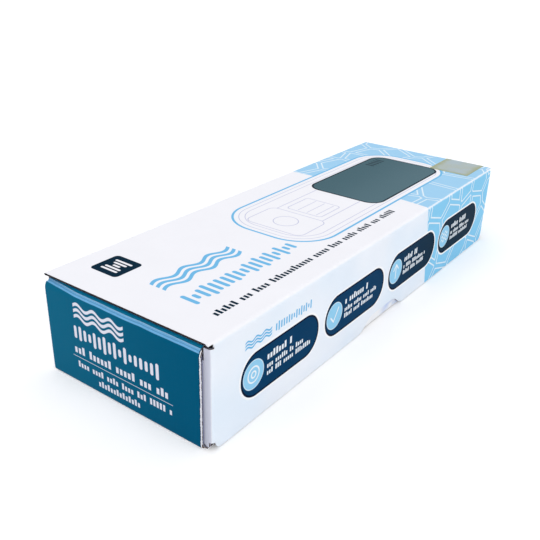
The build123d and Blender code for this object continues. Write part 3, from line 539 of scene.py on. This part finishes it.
def make_printed_top():
    """Pale top with headline, small print and a plan of a pump; sky blue at the far end."""
    t = Finish("printed_top")
    place, x, y, z = t.position()
    sheet = Print(t, x, y, PAPER_WHITE)
    bow = t.times(t.sum("POWER", t.minus(y, sky_middle), 2.0), sky_hollow)
    past = t.minus(t.plus(x, bow), sky_start)
    sheet.sky(past, SKY_BLUE)
    draw_pump_plan(sheet)
    draw_top_words(sheet)
    rub_long_fold(sheet, place, y, z)
    depth = crushed(t, long_wrap(t, y, z), y, -half_width, 1)
    # the top panel's cut edge and its inner facing at the cut are painted near black as shade
    top_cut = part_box("top_panel")[1].x / MM
    at_cut = t.step(t.abs(x), top_cut - 0.3, top_cut - 0.1)
    inner = t.mix(at_cut, INNER_LINER, EDGE_SHADE)
    return board_finish(t, sheet.colour, depth, y, place, core=(EDGE_BLACK, EDGE_SHADE),
                        inner=inner)


def rub_long_fold(sheet, place, y, z):
    """Ink worn away along the fold between top and side, with a painted highlight on the fold."""
    t = sheet.t
    fold = t.minus(t.abs(y), half_width, t.minus(z, carton_top))
    wear = t.fill(fold_wear, {"Distance": fold, "Position": place, "Reach": 1.5, "Amount": 0.9})
    # painted highlight along the fold, where ink is also worn away
    sheet.ink(wear["Mask"], FOLD_WHITE)


def draw_pump_plan(sheet):
    """Plan of a generic pump: outline, tank, valves, coil and a slate cover."""
    t = sheet.t
    body = sheet.plate(52.0, 2.0, 113.0, 41.0, 30.0, PAPER_WHITE)["Distance"]
    for inset in (4.5, 9.0):
        sheet.keyline(body, -inset, 0.6, LAVENDER)
    sheet.frame(-32.0, 2.0, 17.0, 24.0, 6.0, 0.7, LAVENDER)
    sheet.frame(-32.0, 2.0, 9.0, 9.0, 9.0, 0.7, LAVENDER)
    sheet.frame(4.0, 2.0, 14.0, 15.0, 3.0, 0.7, LAVENDER)
    for height in (-8.0, 0.0, 8.0):
        sheet.stroke((-8.0, height), (16.0, height), 0.6, LAVENDER)
    for height in (22.0, -18.0):
        sheet.stroke((-15.0, height), (38.0, height), 0.7, LAVENDER)
    shade = t.step(sheet.across, -34.0, 28.0)
    cover = sheet.plate(97.0, 0.0, 58.0, 32.5, 12.0, t.mix(shade, SLATE, SLATE_DARK))["Distance"]
    sheet.keyline(cover, -0.8, 1.6, SLATE_EDGE)
    for rib in range(5):
        along = 126.0 + 4.5 * rib
        sheet.stroke((along, 19.0), (along, 26.0), 1.8, SLATE_EDGE)
    sheet.keyline(body, 0.0, 1.8, HEADLINE_BLUE)


def draw_top_words(sheet):
    """Headline, a row of small print under it and a dark plate."""
    sheet.ripples(-163.0, 70.0, -1.0, 15.0, 23.0, 2.9, HEADLINE_BLUE)
    sheet.levels(-165.0, 103.0, -25.5, 16.0, 5.4, 3.0, 3.0, HEADLINE_BLUE)
    sheet.words(-167.0, 207.0, -46.5, 5.4, 19.0, 2.0, INK_DARK)
    sheet.plate(-158.5, 38.0, 11.5, 11.5, 3.0, INK_DARK)
    sheet.levels(-166.0, 15.1, 38.0, 15.0, 3.0, 1.7, 2.0, PAPER_WHITE)


def make_printed_side():
    """Pale side with four dark plates, each with a disc and small print."""
    t = Finish("printed_side")
    place, x, y, z = t.position()
    sheet = Print(t, x, z, SIDE_WHITE)
    sheet.ink(t.step(t.noise(place, 0.012, 2.0), 0.35, 0.65), SIDE_BLUE)
    sheet.sky(t.minus(x, t.scale(z, sky_side_slant, sky_side_start)), SKY_SIDE)
    sheet.ripples(-163.0, 24.0, 53.0, 5.6, 8.0, 1.2, HEADLINE_BLUE)
    sheet.levels(-136.0, 40.0, 53.0, 6.6, 2.5, 1.4, 5.0, HEADLINE_BLUE)
    for number, middle in enumerate(CAPSULES):
        draw_capsule(sheet, middle, number)
    rub_long_fold(sheet, place, y, z)
    depth = t.least(long_wrap(t, y, z), flap_wrap(t, x, y))
    depth = crushed(t, depth, t.abs(t.minus(z, carton_top / 2)), carton_top / 2, -1)
    return board_finish(t, sheet.colour, depth, z, place)


def draw_capsule(sheet, middle, number):
    """A dark plate with a pale disc at its near end and rows of small print."""
    t = sheet.t
    outline = sheet.spot(print_plate, middle, CAPSULE_HEIGHT, 38.7, 14.6, 14.4)
    distance = outline["Distance"]
    sheet.ink(t.step(distance, 1.4 + ink_edge, 1.4 - ink_edge), HALO_WHITE)
    sheet.ink(outline["Mask"], NAVY_DARK)
    # painted shade: the dark plates darken towards the far end of the side
    body = t.mix(t.step(sheet.along, -40.0, 90.0), NAVY, NAVY_FAR)
    sheet.ink(t.step(distance, -1.3 + ink_edge, -1.3 - ink_edge), body)
    disc_x, disc_z = middle - 27.2, CAPSULE_HEIGHT + 0.5
    for radius, colour in ((9.5, DISC_EDGE), (8.9, DISC_BLUE)):
        sheet.plate(disc_x, disc_z, radius, radius, radius, colour)
    for row, length in enumerate(CAPSULE_ROWS[number]):
        height, letters, word = ((37.4, 4.6, 26.0), (31.2, 3.4, 11.0), (26.4, 3.4, 13.0))[row]
        seed = number * 3.7 + row * 1.3
        sheet.words(middle - 15.0, length, height, letters, word, seed, SMALL_WHITE)
    draw_symbol(sheet, disc_x, disc_z, number)


TICK = ((-4.5, 0, -1.0, -4.0), (-1.0, -4.0, 4.5, 4.5))
ARROW = ((0, -5.5, 0, 5.5), (0, 5.5, -3.5, 1.5), (0, 5.5, 3.5, 1.5))


def draw_symbol(sheet, x, z, number):
    """Droplet rings, a tick, an arrow or a ripple, in white line."""
    if number == 0:
        for radius in (2.0, 5.0):
            sheet.frame(x, z, radius, radius, radius, 1.0, SMALL_WHITE)
    elif number == 3:
        sheet.ripples(x - 6.0, 12.0, z, 9.0, 6.0, 1.1, SMALL_WHITE)
    else:
        for x1, z1, x2, z2 in TICK if number == 1 else ARROW:
            sheet.stroke((x + x1, z + z1), (x + x2, z + z2), 1.1, SMALL_WHITE)


def make_printed_end():
    """Deep teal end with pale motifs; the ink is crushed to light blue on the tuck crease, with
    painted highlights on it and painted shade where it tucks under the top.
    """
    t = Finish("printed_end")
    place, x, y, z = t.position()
    from_crease = t.minus(z, tab_top - tuck_fold_radius)
    inward = t.minus(near_x + tuck_fold_radius, x)
    radius = t.scale(t.above(z, tab_top / 2), tuck_fold_radius - fold_radius, fold_radius)
    mirrored = t.times(y, -1.0)
    sheet = Print(t, mirrored, z, t.mix(t.step(mirrored, -70.0, 70.0), TEAL, TEAL_DEEP))
    sheet.ripples(-39.0, 42.0, 51.5, 11.0, 14.0, 2.1, END_WHITE)
    sheet.levels(-41.0, 73.0, 37.3, 12.0, 4.2, 2.3, 9.0, END_WHITE)
    sheet.words(-41.5, 79.0, 25.4, 5.4, 17.0, 4.0, END_WHITE)
    sheet.stroke((-43.0, 20.0), (39.0, 20.0), 0.32, END_WHITE)
    sheet.words(-42.0, 80.0, 15.2, 4.2, 13.0, 7.0, END_WHITE)
    sheet.words(-22.0, 37.0, 8.3, 4.2, 40.0, 1.0, END_WHITE)
    fold_angle = t.sum("ARCTAN2", from_crease, inward)
    climb = t.times(t.step(mirrored, -30.0, -66.0), math.radians(crease_climb))
    waver = t.scale(t.noise(place, 0.05, 2.0), 0.16, -0.08)
    angle = t.minus(fold_angle, climb, waver)
    # crushed ink on the tuck crease, painted light blue also as a highlight
    on_band = t.times(t.turned(angle, crease_low, crease_low + 4),
                      t.turned(angle, crease_high, crease_high - 3))
    beyond = t.above(from_crease, 0.0)
    streaks = t.noise(t.vector("MULTIPLY", place, (1.0, 0.12, 1.0)), 0.9, 4.0, 0.6)
    sheet.ink(t.times(on_band, beyond, t.scale(streaks, 0.5, 0.7), clamp=True), CREASE_BLUE)
    # a dark score line in the crease, and a painted highlight line near the band's edge
    for middle, start, end, strength, colour in ((37, 0.05, 0.02, 0.45, CREASE_DARK),
                                                 (49, 0.09, 0.03, 0.7, CREASE_LIGHT)):
        line = t.step(t.abs(t.minus(angle, math.radians(middle))), start, end)
        sheet.ink(t.times(line, beyond, strength), colour)
    # painted light: brighter teal on the crease's shoulder, which the top panel shades
    shoulder = t.times(t.turned(angle, crease_high, crease_high + 5), t.turned(fold_angle, 118, 90))
    sheet.ink(t.times(shoulder, beyond), TEAL_BRIGHT)
    # painted shade: near-black teal where the fold tucks in under the top panel
    tucked = t.times(t.turned(fold_angle, 80, 87), t.turned(fold_angle, 122, 104))
    sheet.ink(t.times(tucked, beyond), TEAL_HIDDEN)
    cut_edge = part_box("near_closure")[0].y / MM
    torn = t.scale(t.noise(place, 0.45, 4.0, 0.7), 1.7, -0.45)
    from_cut = t.minus(y, cut_edge, torn)
    sheet.ink(t.step(from_cut, 0.75, 0.35), TEAL_SHADE)
    sheet.ink(t.step(from_cut, 0.1, -0.1), PAPER_WHITE)
    return board_finish(t, sheet.colour, end_wrap(t, x, z, radius), y, place)


def make_plain_base():
    """Unprinted board of the underside."""
    t = Finish("plain_base")
    place, x, y, z = t.position()
    return board_finish(t, PAPER_WHITE, t.least(long_wrap(t, y, z), end_wrap(t, x, z)), y, place)


def make_plain_flap():
    """Unprinted board of the dust flaps, painted grey as shade, with a painted highlight round
    their upright folds.
    """
    t = Finish("plain_flap")
    place, x, y, z = t.position()
    # painted highlight where the flap rounds its fold, over grey that is painted as shade
    round_fold = t.step(t.abs(x), flap_face - 0.1, flap_face - 0.75)
    beside_fold = t.step(t.abs(y), half_width - 2.1, half_width - 0.9)
    ribs = t.noise(t.vector("MULTIPLY", place, (0.2, 0.2, 1.0)), 0.35, 3.0, 0.6)
    bright = t.times(beside_fold, round_fold, t.scale(ribs, 0.9, 0.4), clamp=True)
    ink = t.mix(bright, FLAP_WHITE, SIDE_WHITE)
    return board_finish(t, ink, flap_wrap(t, x, y), z, place, FLAP_WHITE)


def make_lap_board():
    """Outside of the glue lap, with painted bluish shade towards its middle; it shows in the thumb
    notch.
    """
    t = Finish("plain_lap")
    place, x, y, z = t.position()
    # painted bluish shade on the white lap where it shows through the notch
    tint = t.times(t.step(x, -6.0, 12.0), t.step(t.noise(place, 0.05), 0.35, 0.6))
    ink = t.mix(tint, LAP_WHITE, LAP_BLUE)
    half_lap = -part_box("glue_lap")[0].y / MM
    depth = wrap_depth(t, y, t.minus(z, carton_top / 2), half_lap, carton_top / 2)
    return board_finish(t, ink, depth, z, place, LAP_WHITE)


def make_printed_back():
    """The long side turned away: pale, giving way to sky blue at the far end."""
    t = Finish("printed_back")
    place, x, y, z = t.position()
    sheet = Print(t, x, z, SIDE_WHITE)
    sheet.sky(t.minus(x, t.scale(z, sky_side_slant, sky_side_start + 4.0)), SKY_SIDE)
    rub_long_fold(sheet, place, y, z)
    return board_finish(t, sheet.colour, t.least(long_wrap(t, y, z), flap_wrap(t, x, y)), z, place)


def make_printed_far_end():
    """The sealed end, sky blue all over."""
    t = Finish("printed_far_end")
    place, x, y, z = t.position()
    sheet = Print(t, y, z, SKY_SIDE)
    sheet.sky(x, SKY_SIDE)
    return board_finish(t, sheet.colour, end_wrap(t, x, z), y, place)


def make_kraft():
    """Brown unbleached board of the fitment, with fibres and the flutes showing through."""
    t = Finish("kraft_board")
    place, x = t.position()[:2]
    grain = t.fill(paper_grain, {"Position": place, "Along": x, "Washboard": 0.8})
    fleck = t.step(t.noise(place, 1.4, 3.0, 0.7), 0.62, 0.72)
    colour = t.shade(t.mix(t.times(fleck, 0.5), KRAFT, KRAFT_DARK), grain["Shade"])
    return t.coat(colour, 0.85, grain["Height"], 0.6, 0.0003)


def make_tape_film():
    """Aged clear tape: a beige-green film with soft gloss and fine creases."""
    t = Finish("tape_film")
    place, x, y, z = t.position()
    cloudy = t.noise(place, 0.08, 4.0, 0.6)
    rub = t.noise(t.vector("MULTIPLY", place, (0.4, 2.0, 1.0)), 0.5, 4.0, 0.6)
    low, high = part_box("tape_seal")
    from_side = t.minus((high.y - low.y) / MM / 2, t.abs(t.minus(y, (low.y + high.y) / MM / 2)))
    from_end = t.least(t.minus(x, low.x / MM), t.minus(z, low.z / MM))
    aged = t.scale(cloudy, 5.0, t.least(from_side, from_end))
    colour = t.mix(t.step(cloudy, 0.35, 0.65), TAPE_GREEN, TAPE_BLUE)
    t.feed(t.shader.inputs["Alpha"], t.scale(cloudy, 0.1, 0.78))
    return t.coat(t.mix(t.step(aged, 9.0, 2.5), colour, TAPE_AGED), t.scale(rub, 0.3, 0.2), rub,
                  0.3, 0.0003)


def make_plastic(name, colour, other, rough=0.35, grain=2.5):
    """Moulded plastic or rubber that wanders between two colours."""
    t = Finish(name)
    place = t.position()[0]
    moulding = t.fill(moulded_grain, {"Position": place, "Grain": grain, "Scuff": 0.08})
    colour = t.shade(t.mix(t.noise(place, 0.12, 3.0), colour, other), moulding["Shade"])
    return t.coat(colour, t.plus(moulding["Roughness"], rough - 0.35), moulding["Height"], 0.25,
                  0.0001)


def make_metal(name, colour, other, spots=0.2):
    """Brushed metal that wanders between two colours, with dull spots."""
    t = Finish(name)
    place = t.position()[0]
    wear = t.fill(metal_wear, {"Position": place, "Spots": spots})
    t.shader.inputs["Metallic"].default_value = 1.0
    colour = t.shade(t.mix(t.noise(place, 0.3, 3.0), colour, other), wear["Shade"])
    return t.coat(colour, wear["Roughness"], wear["Height"], 0.3, 0.00008)


def make_winding():
    """Enamelled copper wire, turn beside turn along the coil's axis, with painted shade between the
    turns and painted highlight on them.
    """
    t = Finish("copper_winding")
    place, x = t.position()[:2]
    wire = 0.6
    ridge = t.scale(t.sine(t.times(x, 2 * math.pi / wire)), 0.5, 0.5)
    t.shader.inputs["Metallic"].default_value = 0.9
    # painted shade in the grooves between turns and painted highlight on their crowns
    colour = t.mix(ridge, srgb(96, 44, 20), srgb(214, 128, 74))
    return t.coat(colour, t.scale(t.noise(place, 0.5), 0.2, 0.22), ridge, 0.7, 0.0003)


def make_circuit():
    """Green solder mask with copper tracks running square to each other."""
    t = Finish("circuit_board")
    place = t.position()[0]
    black, white = (0, 0, 0, 1), (1, 1, 1, 1)
    bricks = {"Vector": place, "Scale": 0.25, "Mortar Size": 0.03, "Color1": black, "Color2": black,
              "Mortar": white}
    tracks = t.add("ShaderNodeTexBrick", bricks).outputs["Fac"]
    colour = t.mix(tracks, srgb(22, 92, 58), srgb(60, 142, 88))
    return t.coat(colour, t.scale(t.noise(place, 0.8), 0.2, 0.25), tracks, 0.4, 0.0002)


def make_mesh_screen():
    """Open weave of the filter."""
    t = Finish("filter_weave")
    hole = 0.8
    across, upright = (t.abs(t.sine(t.times(way, math.pi / hole))) for way in t.position()[2:])
    weave = t.step(t.least(across, upright), 0.55, 0.25)
    colour = t.mix(weave, srgb(60, 66, 70), srgb(206, 210, 212))
    return t.coat(colour, t.scale(weave, 0.2, 0.35), weave, 0.8, 0.0003)


def make_foam():
    """Closed cells of the float's foam."""
    t = Finish("float_foam")
    inputs = {"Vector": t.position()[0], "Scale": 1.6}
    cells = t.add("ShaderNodeTexVoronoi", inputs).outputs["Distance"]
    colour = t.mix(cells, srgb(58, 60, 64), srgb(92, 95, 100))
    return t.coat(colour, t.scale(cells, 0.2, 0.7), cells, 0.5, 0.0004)


def make_leaflet_paper():
    """Folded leaflet: rows of small print on thin white paper."""
    t = Finish("leaflet_paper")
    place, x, y = t.position()[:3]
    grain = t.fill(paper_grain, {"Position": place, "Along": x, "Washboard": 0.0})
    sheet = Print(t, x, y, srgb(246, 246, 244))
    for row in range(10):
        length, middle = 132.0 - 9.0 * (row % 3), -10.0 - 4.6 * row
        sheet.words(-66.0, length, middle, 1.6, 9.0, row * 2.3, srgb(96, 104, 112))
    return t.coat(t.shade(sheet.colour, grain["Shade"]), 0.6, grain["Height"], 0.3, 0.0001)


def give(material, *names):
    """The material on every slot of these CAD nodes."""
    for name in names:
        node = NODES[name]
        if not node.material_slots:
            node.data.materials.append(material)
        for slot in node.material_slots:
            slot.link = "OBJECT"
            slot.material = material


def finish_nodes():
    """Every CAD node gets the finish of what it is made of."""
    give(make_printed_top(), "top_panel")
    give(make_printed_side(), "right_side_panel")
    give(make_printed_end(), "near_closure", "near_tuck_tab")
    give(make_printed_back(), "left_side_panel")
    give(make_printed_far_end(), "far_closure", "far_tuck_tab")
    give(make_plain_flap(), "near_left_dust_flap", "near_right_dust_flap", "far_left_dust_flap",
         "far_right_dust_flap")
    give(make_plain_base(), "bottom_panel")
    give(make_lap_board(), "glue_lap")
    give(make_tape_film(), "tape_seal")
    give(make_kraft(), "fitment_tray", "fitment_near_end", "fitment_far_end", "fitment_divider")
    white = make_plastic("casing_plastic", srgb(238, 240, 240), srgb(230, 233, 235))
    give(white, "pump_casing_base", "pump_cover")
    tank = make_plastic("tank_plastic", srgb(206, 214, 216), srgb(190, 200, 204), 0.25)
    give(tank, "reservoir", "suction_duct")
    black = make_plastic("black_plastic", srgb(38, 40, 42), srgb(48, 50, 53), 0.4)
    give(black, "reservoir_lid", "inlet_valve", "outlet_valve", "coil_bobbin", "outlet_barb",
         "terminal_block")
    rubber = make_plastic("soft_rubber", srgb(46, 46, 48), srgb(58, 58, 60), 0.65, 3.5)
    give(rubber, "rubber_feet", "cartridge_gaskets", "cartridge_mounts", "cable_gland",
         "inlet_adaptor")
    steel = make_metal("zinc_steel", srgb(196, 200, 206), srgb(176, 182, 192))
    give(steel, "cover_screws", "piston", "suction_spring", "discharge_spring", "wall_plate",
         "wall_screws")
    give(make_metal("soft_iron", srgb(120, 122, 126), srgb(98, 100, 104), spots=0.35), "iron_yoke")
    give(make_metal("brass_tube", srgb(206, 172, 96), srgb(188, 150, 80)), "piston_tube")
    give(make_winding(), "coil_winding")
    give(make_plastic("ferrite_magnet", srgb(56, 54, 58), srgb(44, 42, 46), 0.5), "float_magnet")
    give(make_circuit(), "control_board", "sensor_board")
    give(make_foam(), "float_body")
    give(make_mesh_screen(), "inlet_filter")
    give(make_leaflet_paper(), "instruction_leaflet")
    give(make_plastic("plug_plastic", srgb(196, 66, 48), srgb(184, 56, 40), 0.4), "wall_plugs")


# ---------------------------------------------------------------- cut and torn edges of the board
def make_torn_paper(name, colour, other, stretch):
    """Paper torn open: fibres that lie along one way, with painted shade in the hollows."""
    t = Finish(name)
    fibre = t.noise(t.vector("MULTIPLY", t.position()[0], stretch), 2.2, 5.0, 0.7)
    # the second colour is painted shade where the fibres sink
    colour = t.mix(t.step(fibre, 0.3, 0.7), other, colour)
    return t.coat(colour, t.scale(fibre, 0.15, 0.8), fibre, 0.6, 0.0001)


def pick(strip, wanted):
    """In edit mode, select the points whose place passes a test, and nothing else."""
    bpy.ops.mesh.select_all(action="DESELECT")
    mesh = bmesh.from_edit_mesh(strip.data)
    for point in mesh.verts:
        point.select_set(wanted(point.co))
    mesh.select_flush_mode()
    bmesh.update_edit_mesh(strip.data)


def lay_strip(name, length, reach, columns):
    """A flat strip of paper, in edit mode: its root lies on X and its free edge at y = reach."""
    bpy.ops.object.select_all(action="DESELECT")
    bpy.ops.mesh.primitive_grid_add(x_subdivisions=columns, y_subdivisions=2, size=1.0)
    strip = bpy.context.object
    strip.name = name
    bpy.ops.object.mode_set(mode="EDIT")
    bpy.ops.mesh.select_all(action="SELECT")
    bpy.ops.transform.resize(value=(length, reach, 1.0))
    bpy.ops.transform.translate(value=(0, reach / 2, 0))
    return strip


def set_strip(strip, thickness, middle, along, outward, material, body):
    """Give the strip its thickness, set it in its place and hang it on a body."""
    bpy.ops.object.mode_set(mode="OBJECT")
    solid = strip.modifiers.new("thickness", "SOLIDIFY")
    solid.thickness, solid.offset = thickness, 0.0
    bpy.ops.object.modifier_apply(modifier=solid.name)
    along, outward = Vector(along), Vector(outward)
    turn = Matrix((along, outward, along.cross(outward))).transposed()
    strip.matrix_world = Matrix.Translation(Vector(middle) * MM) @ turn.to_4x4()
    bpy.ops.object.transform_apply(location=True, rotation=True, scale=True)
    bpy.ops.object.shade_smooth_by_angle(angle=math.radians(40))
    strip.data.materials.append(material)
    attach(strip, body)


def torn_strip(name, length, reach, ragged, thickness, seed, *place):
    """A lip of torn paper: its free edge wanders in and out and curls a little."""
    columns = round(length / (0.55 * MM))
    strip = lay_strip(name, length, reach, columns)
    pick(strip, lambda co: co.y > reach * 0.9)
    bpy.ops.transform.vertex_random(offset=ragged, seed=seed)
    pick(strip, lambda co: reach * 0.2 < co.y <= reach * 0.9)
    bpy.ops.transform.vertex_random(offset=ragged * 0.3, seed=seed + 1)
    bpy.ops.mesh.select_all(action="SELECT")
    bpy.ops.transform.resize(value=(1, 1, 0.4))
    bpy.ops.mesh.subdivide(smoothness=0.6)
    set_strip(strip, thickness, *place)


def fluted_strip(name, length, reach, swing, *place):
    """The corrugated middle of the board, standing a hair proud of the cut."""
    columns = 4 * round(length / (flute_pitch * MM))
    strip = lay_strip(name, length, reach, columns)
    step = length / columns
    for turn, lift in ((1, swing), (3, -swing)):
        pick(strip, lambda co: round((co.x + length / 2) / step) % 4 == turn)
        bpy.ops.transform.translate(value=(0, 0, lift))
    pick(strip, lambda co: co.y > reach * 0.9)
    bpy.ops.transform.vertex_random(offset=0.06 * MM, seed=4)
    bpy.ops.object.mode_set(mode="OBJECT")
    smooth = strip.modifiers.new("smooth", "SUBSURF")
    smooth.levels = smooth.render_levels = 1
    bpy.ops.object.modifier_apply(modifier=smooth.name)
    set_strip(strip, 0.22 * MM, *place)


def add_cut_edges():
    """Torn lips on the upright edges of the near closure, and flutes where cuts cross them."""
    white = make_torn_paper("torn_white", srgb(244, 244, 248), srgb(206, 208, 218), (3.0, 3.0, 0.5))
    brown = make_torn_paper("torn_brown", srgb(104, 84, 72), srgb(40, 34, 34), (3.0, 3.0, 0.6))
    lavender = make_torn_paper("torn_lavender", srgb(150, 158, 200), srgb(128, 134, 176),
                               (3.0, 3.0, 0.5))
    flutes = make_torn_paper("cut_flutes", srgb(70, 54, 50), srgb(28, 24, 26), (2.0, 2.0, 2.0))
    low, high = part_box("near_closure")
    root = 0.3    # millimetres of each strip that lie inside the board
    first, last = low.z / MM + 3.2, high.z / MM - 3.6    # clear of the folds below and above
    middle_z, length = (first + last) / 2, (last - first) * MM
    layers = (("outer", 0.24, 0.78, 0.34, 0.16, white), ("middle", 0.8, 0.62, 0.16, 0.2, brown),
              ("inner", board - 0.16, 0.55, 0.1, 0.16, lavender))
    for side, edge_y, outward in (("right", low.y / MM, -1), ("left", high.y / MM, 1)):
        for seed, (layer, depth, reach, ragged, thickness, material) in enumerate(layers):
            middle = (near_x + depth, edge_y - outward * root, middle_z)
            torn_strip(f"closure_{side}_{layer}_lip", length, reach * MM, ragged * MM,
                       thickness * MM, seed * 5 + outward + 2, middle, (0, 0, 1), (0, outward, 0),
                       material, "closure")
    top_low, top_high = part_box("top_panel")
    reach, swing = 0.55 * MM, flute_swing * 1.5 * MM
    for end, edge_x, outward in (("near", top_low.x / MM, -1), ("far", top_high.x / MM, 1)):
        middle = (edge_x - outward * root, 0, carton_top - board / 2)
        fluted_strip(f"top_{end}_flutes", 121.5 * MM, reach, swing, middle, (0, -outward, 0),
                     (outward, 0, 0), flutes, "carton")
    tab_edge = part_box("near_tuck_tab")[1].x / MM
    middle = (tab_edge - root, 2.0, tab_top - board / 2)
    fluted_strip("tab_flutes", 100.0 * MM, reach, swing, middle, (0, -1, 0), (1, 0, 0), brown,
                 "tuck_tab")


# ---------------------------------------------------------------- floor, lights and camera
WORLD_LEVEL = 0.74           # even light from all round
KEY_LEVEL = 0.66             # wide soft lamp, high and towards the camera's left
FILL_LEVEL = 0.6
FLOOR_LIFT = 0.14            # how much whiter the camera sees the floor
PLAIN_WHITE = (1, 1, 1, 1)


def make_floor():
    """Pale floor that runs into the backdrop; the camera sees it and its shadow a little whiter."""
    bpy.ops.object.select_all(action="DESELECT")
    bpy.ops.mesh.primitive_plane_add(size=60.0, location=(0, 0, 0))
    floor = bpy.context.object
    floor.name = "floor"
    material = bpy.data.materials.new("pale_floor")
    t = Tree(bare_tree(material))
    place = t.add("ShaderNodeTexCoord").outputs["Object"]
    pale = t.mix(t.noise(place, 3.0, 2.0), (0.93, 0.93, 0.94, 1), (0.95, 0.95, 0.955, 1))
    paint = t.add("ShaderNodeBsdfDiffuse", {"Color": pale, "Roughness": 0.5})
    path = t.add("ShaderNodeLightPath").outputs
    seen = t.most(path["Is Camera Ray"], t.most(path["Is Glossy Ray"], path["Is Transmission Ray"]))
    lift = t.add("ShaderNodeEmission", {"Color": PLAIN_WHITE,
                                        "Strength": t.times(seen, FLOOR_LIFT)})
    both = t.add("ShaderNodeAddShader", {0: paint.outputs[0], 1: lift.outputs[0]})
    output = t.add("ShaderNodeOutputMaterial")
    t.feed(output.inputs["Surface"], both.outputs[0])
    floor.data.materials.append(material)
    floor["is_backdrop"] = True


def make_world():
    """Even pale light; a camera ray, a mirror or clear plastic sees plain white."""
    world = bpy.data.worlds.new("studio")
    bpy.context.scene.world = world
    t = Tree(bare_tree(world))
    path = t.add("ShaderNodeLightPath").outputs
    seen = t.most(path["Is Camera Ray"], path["Is Transmission Ray"])
    light = t.add("ShaderNodeBackground", {"Color": (0.97, 0.985, 1.0, 1), "Strength": WORLD_LEVEL})
    white = t.add("ShaderNodeBackground", {"Color": PLAIN_WHITE, "Strength": 1.0})
    both = t.add("ShaderNodeMixShader", {0: seen, 1: light.outputs[0], 2: white.outputs[0]})
    output = t.add("ShaderNodeOutputWorld")
    t.feed(output.inputs["Surface"], both.outputs[0])


def make_lamp(name, towards, level, spread):
    """A distant soft lamp that shines from a direction, spread over an angle in degrees."""
    data = bpy.data.lights.new(name, "SUN")
    data.energy = level
    data.angle = math.radians(spread)
    lamp = bpy.data.objects.new(name, data)
    bpy.context.scene.collection.objects.link(lamp)
    lamp.rotation_euler = Vector(towards).to_track_quat("Z", "Y").to_euler()


def make_camera():
    """54 degrees round from the long side and about 26 degrees up."""
    place = Vector((-0.4132, -0.2612, 0.2529))
    forward = Vector((0.72939, 0.52777, -0.43525))
    up = Vector((0.33549, 0.27850, 0.89993))
    right = forward.cross(up).normalized()
    up = right.cross(forward)
    data = bpy.data.cameras.new("camera")
    data.sensor_width = 36.0
    data.lens = 46.64
    data.clip_start, data.clip_end = 0.01, 30.0
    camera = bpy.data.objects.new("camera", data)
    bpy.context.scene.collection.objects.link(camera)
    turn = Matrix((right, up, -forward.normalized())).transposed()
    camera.matrix_world = Matrix.Translation(place) @ turn.to_4x4()
    bpy.context.scene.camera = camera


finish_nodes()
add_cut_edges()
make_floor()
make_world()
make_lamp("key_softbox", (-0.25, 0.15, 1.0), KEY_LEVEL, 50.0)
make_lamp("fill_softbox", (-0.35, -0.9, 0.45), FILL_LEVEL, 70.0)
make_camera()
bpy.context.scene.view_settings.view_transform = "Standard"

low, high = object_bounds()
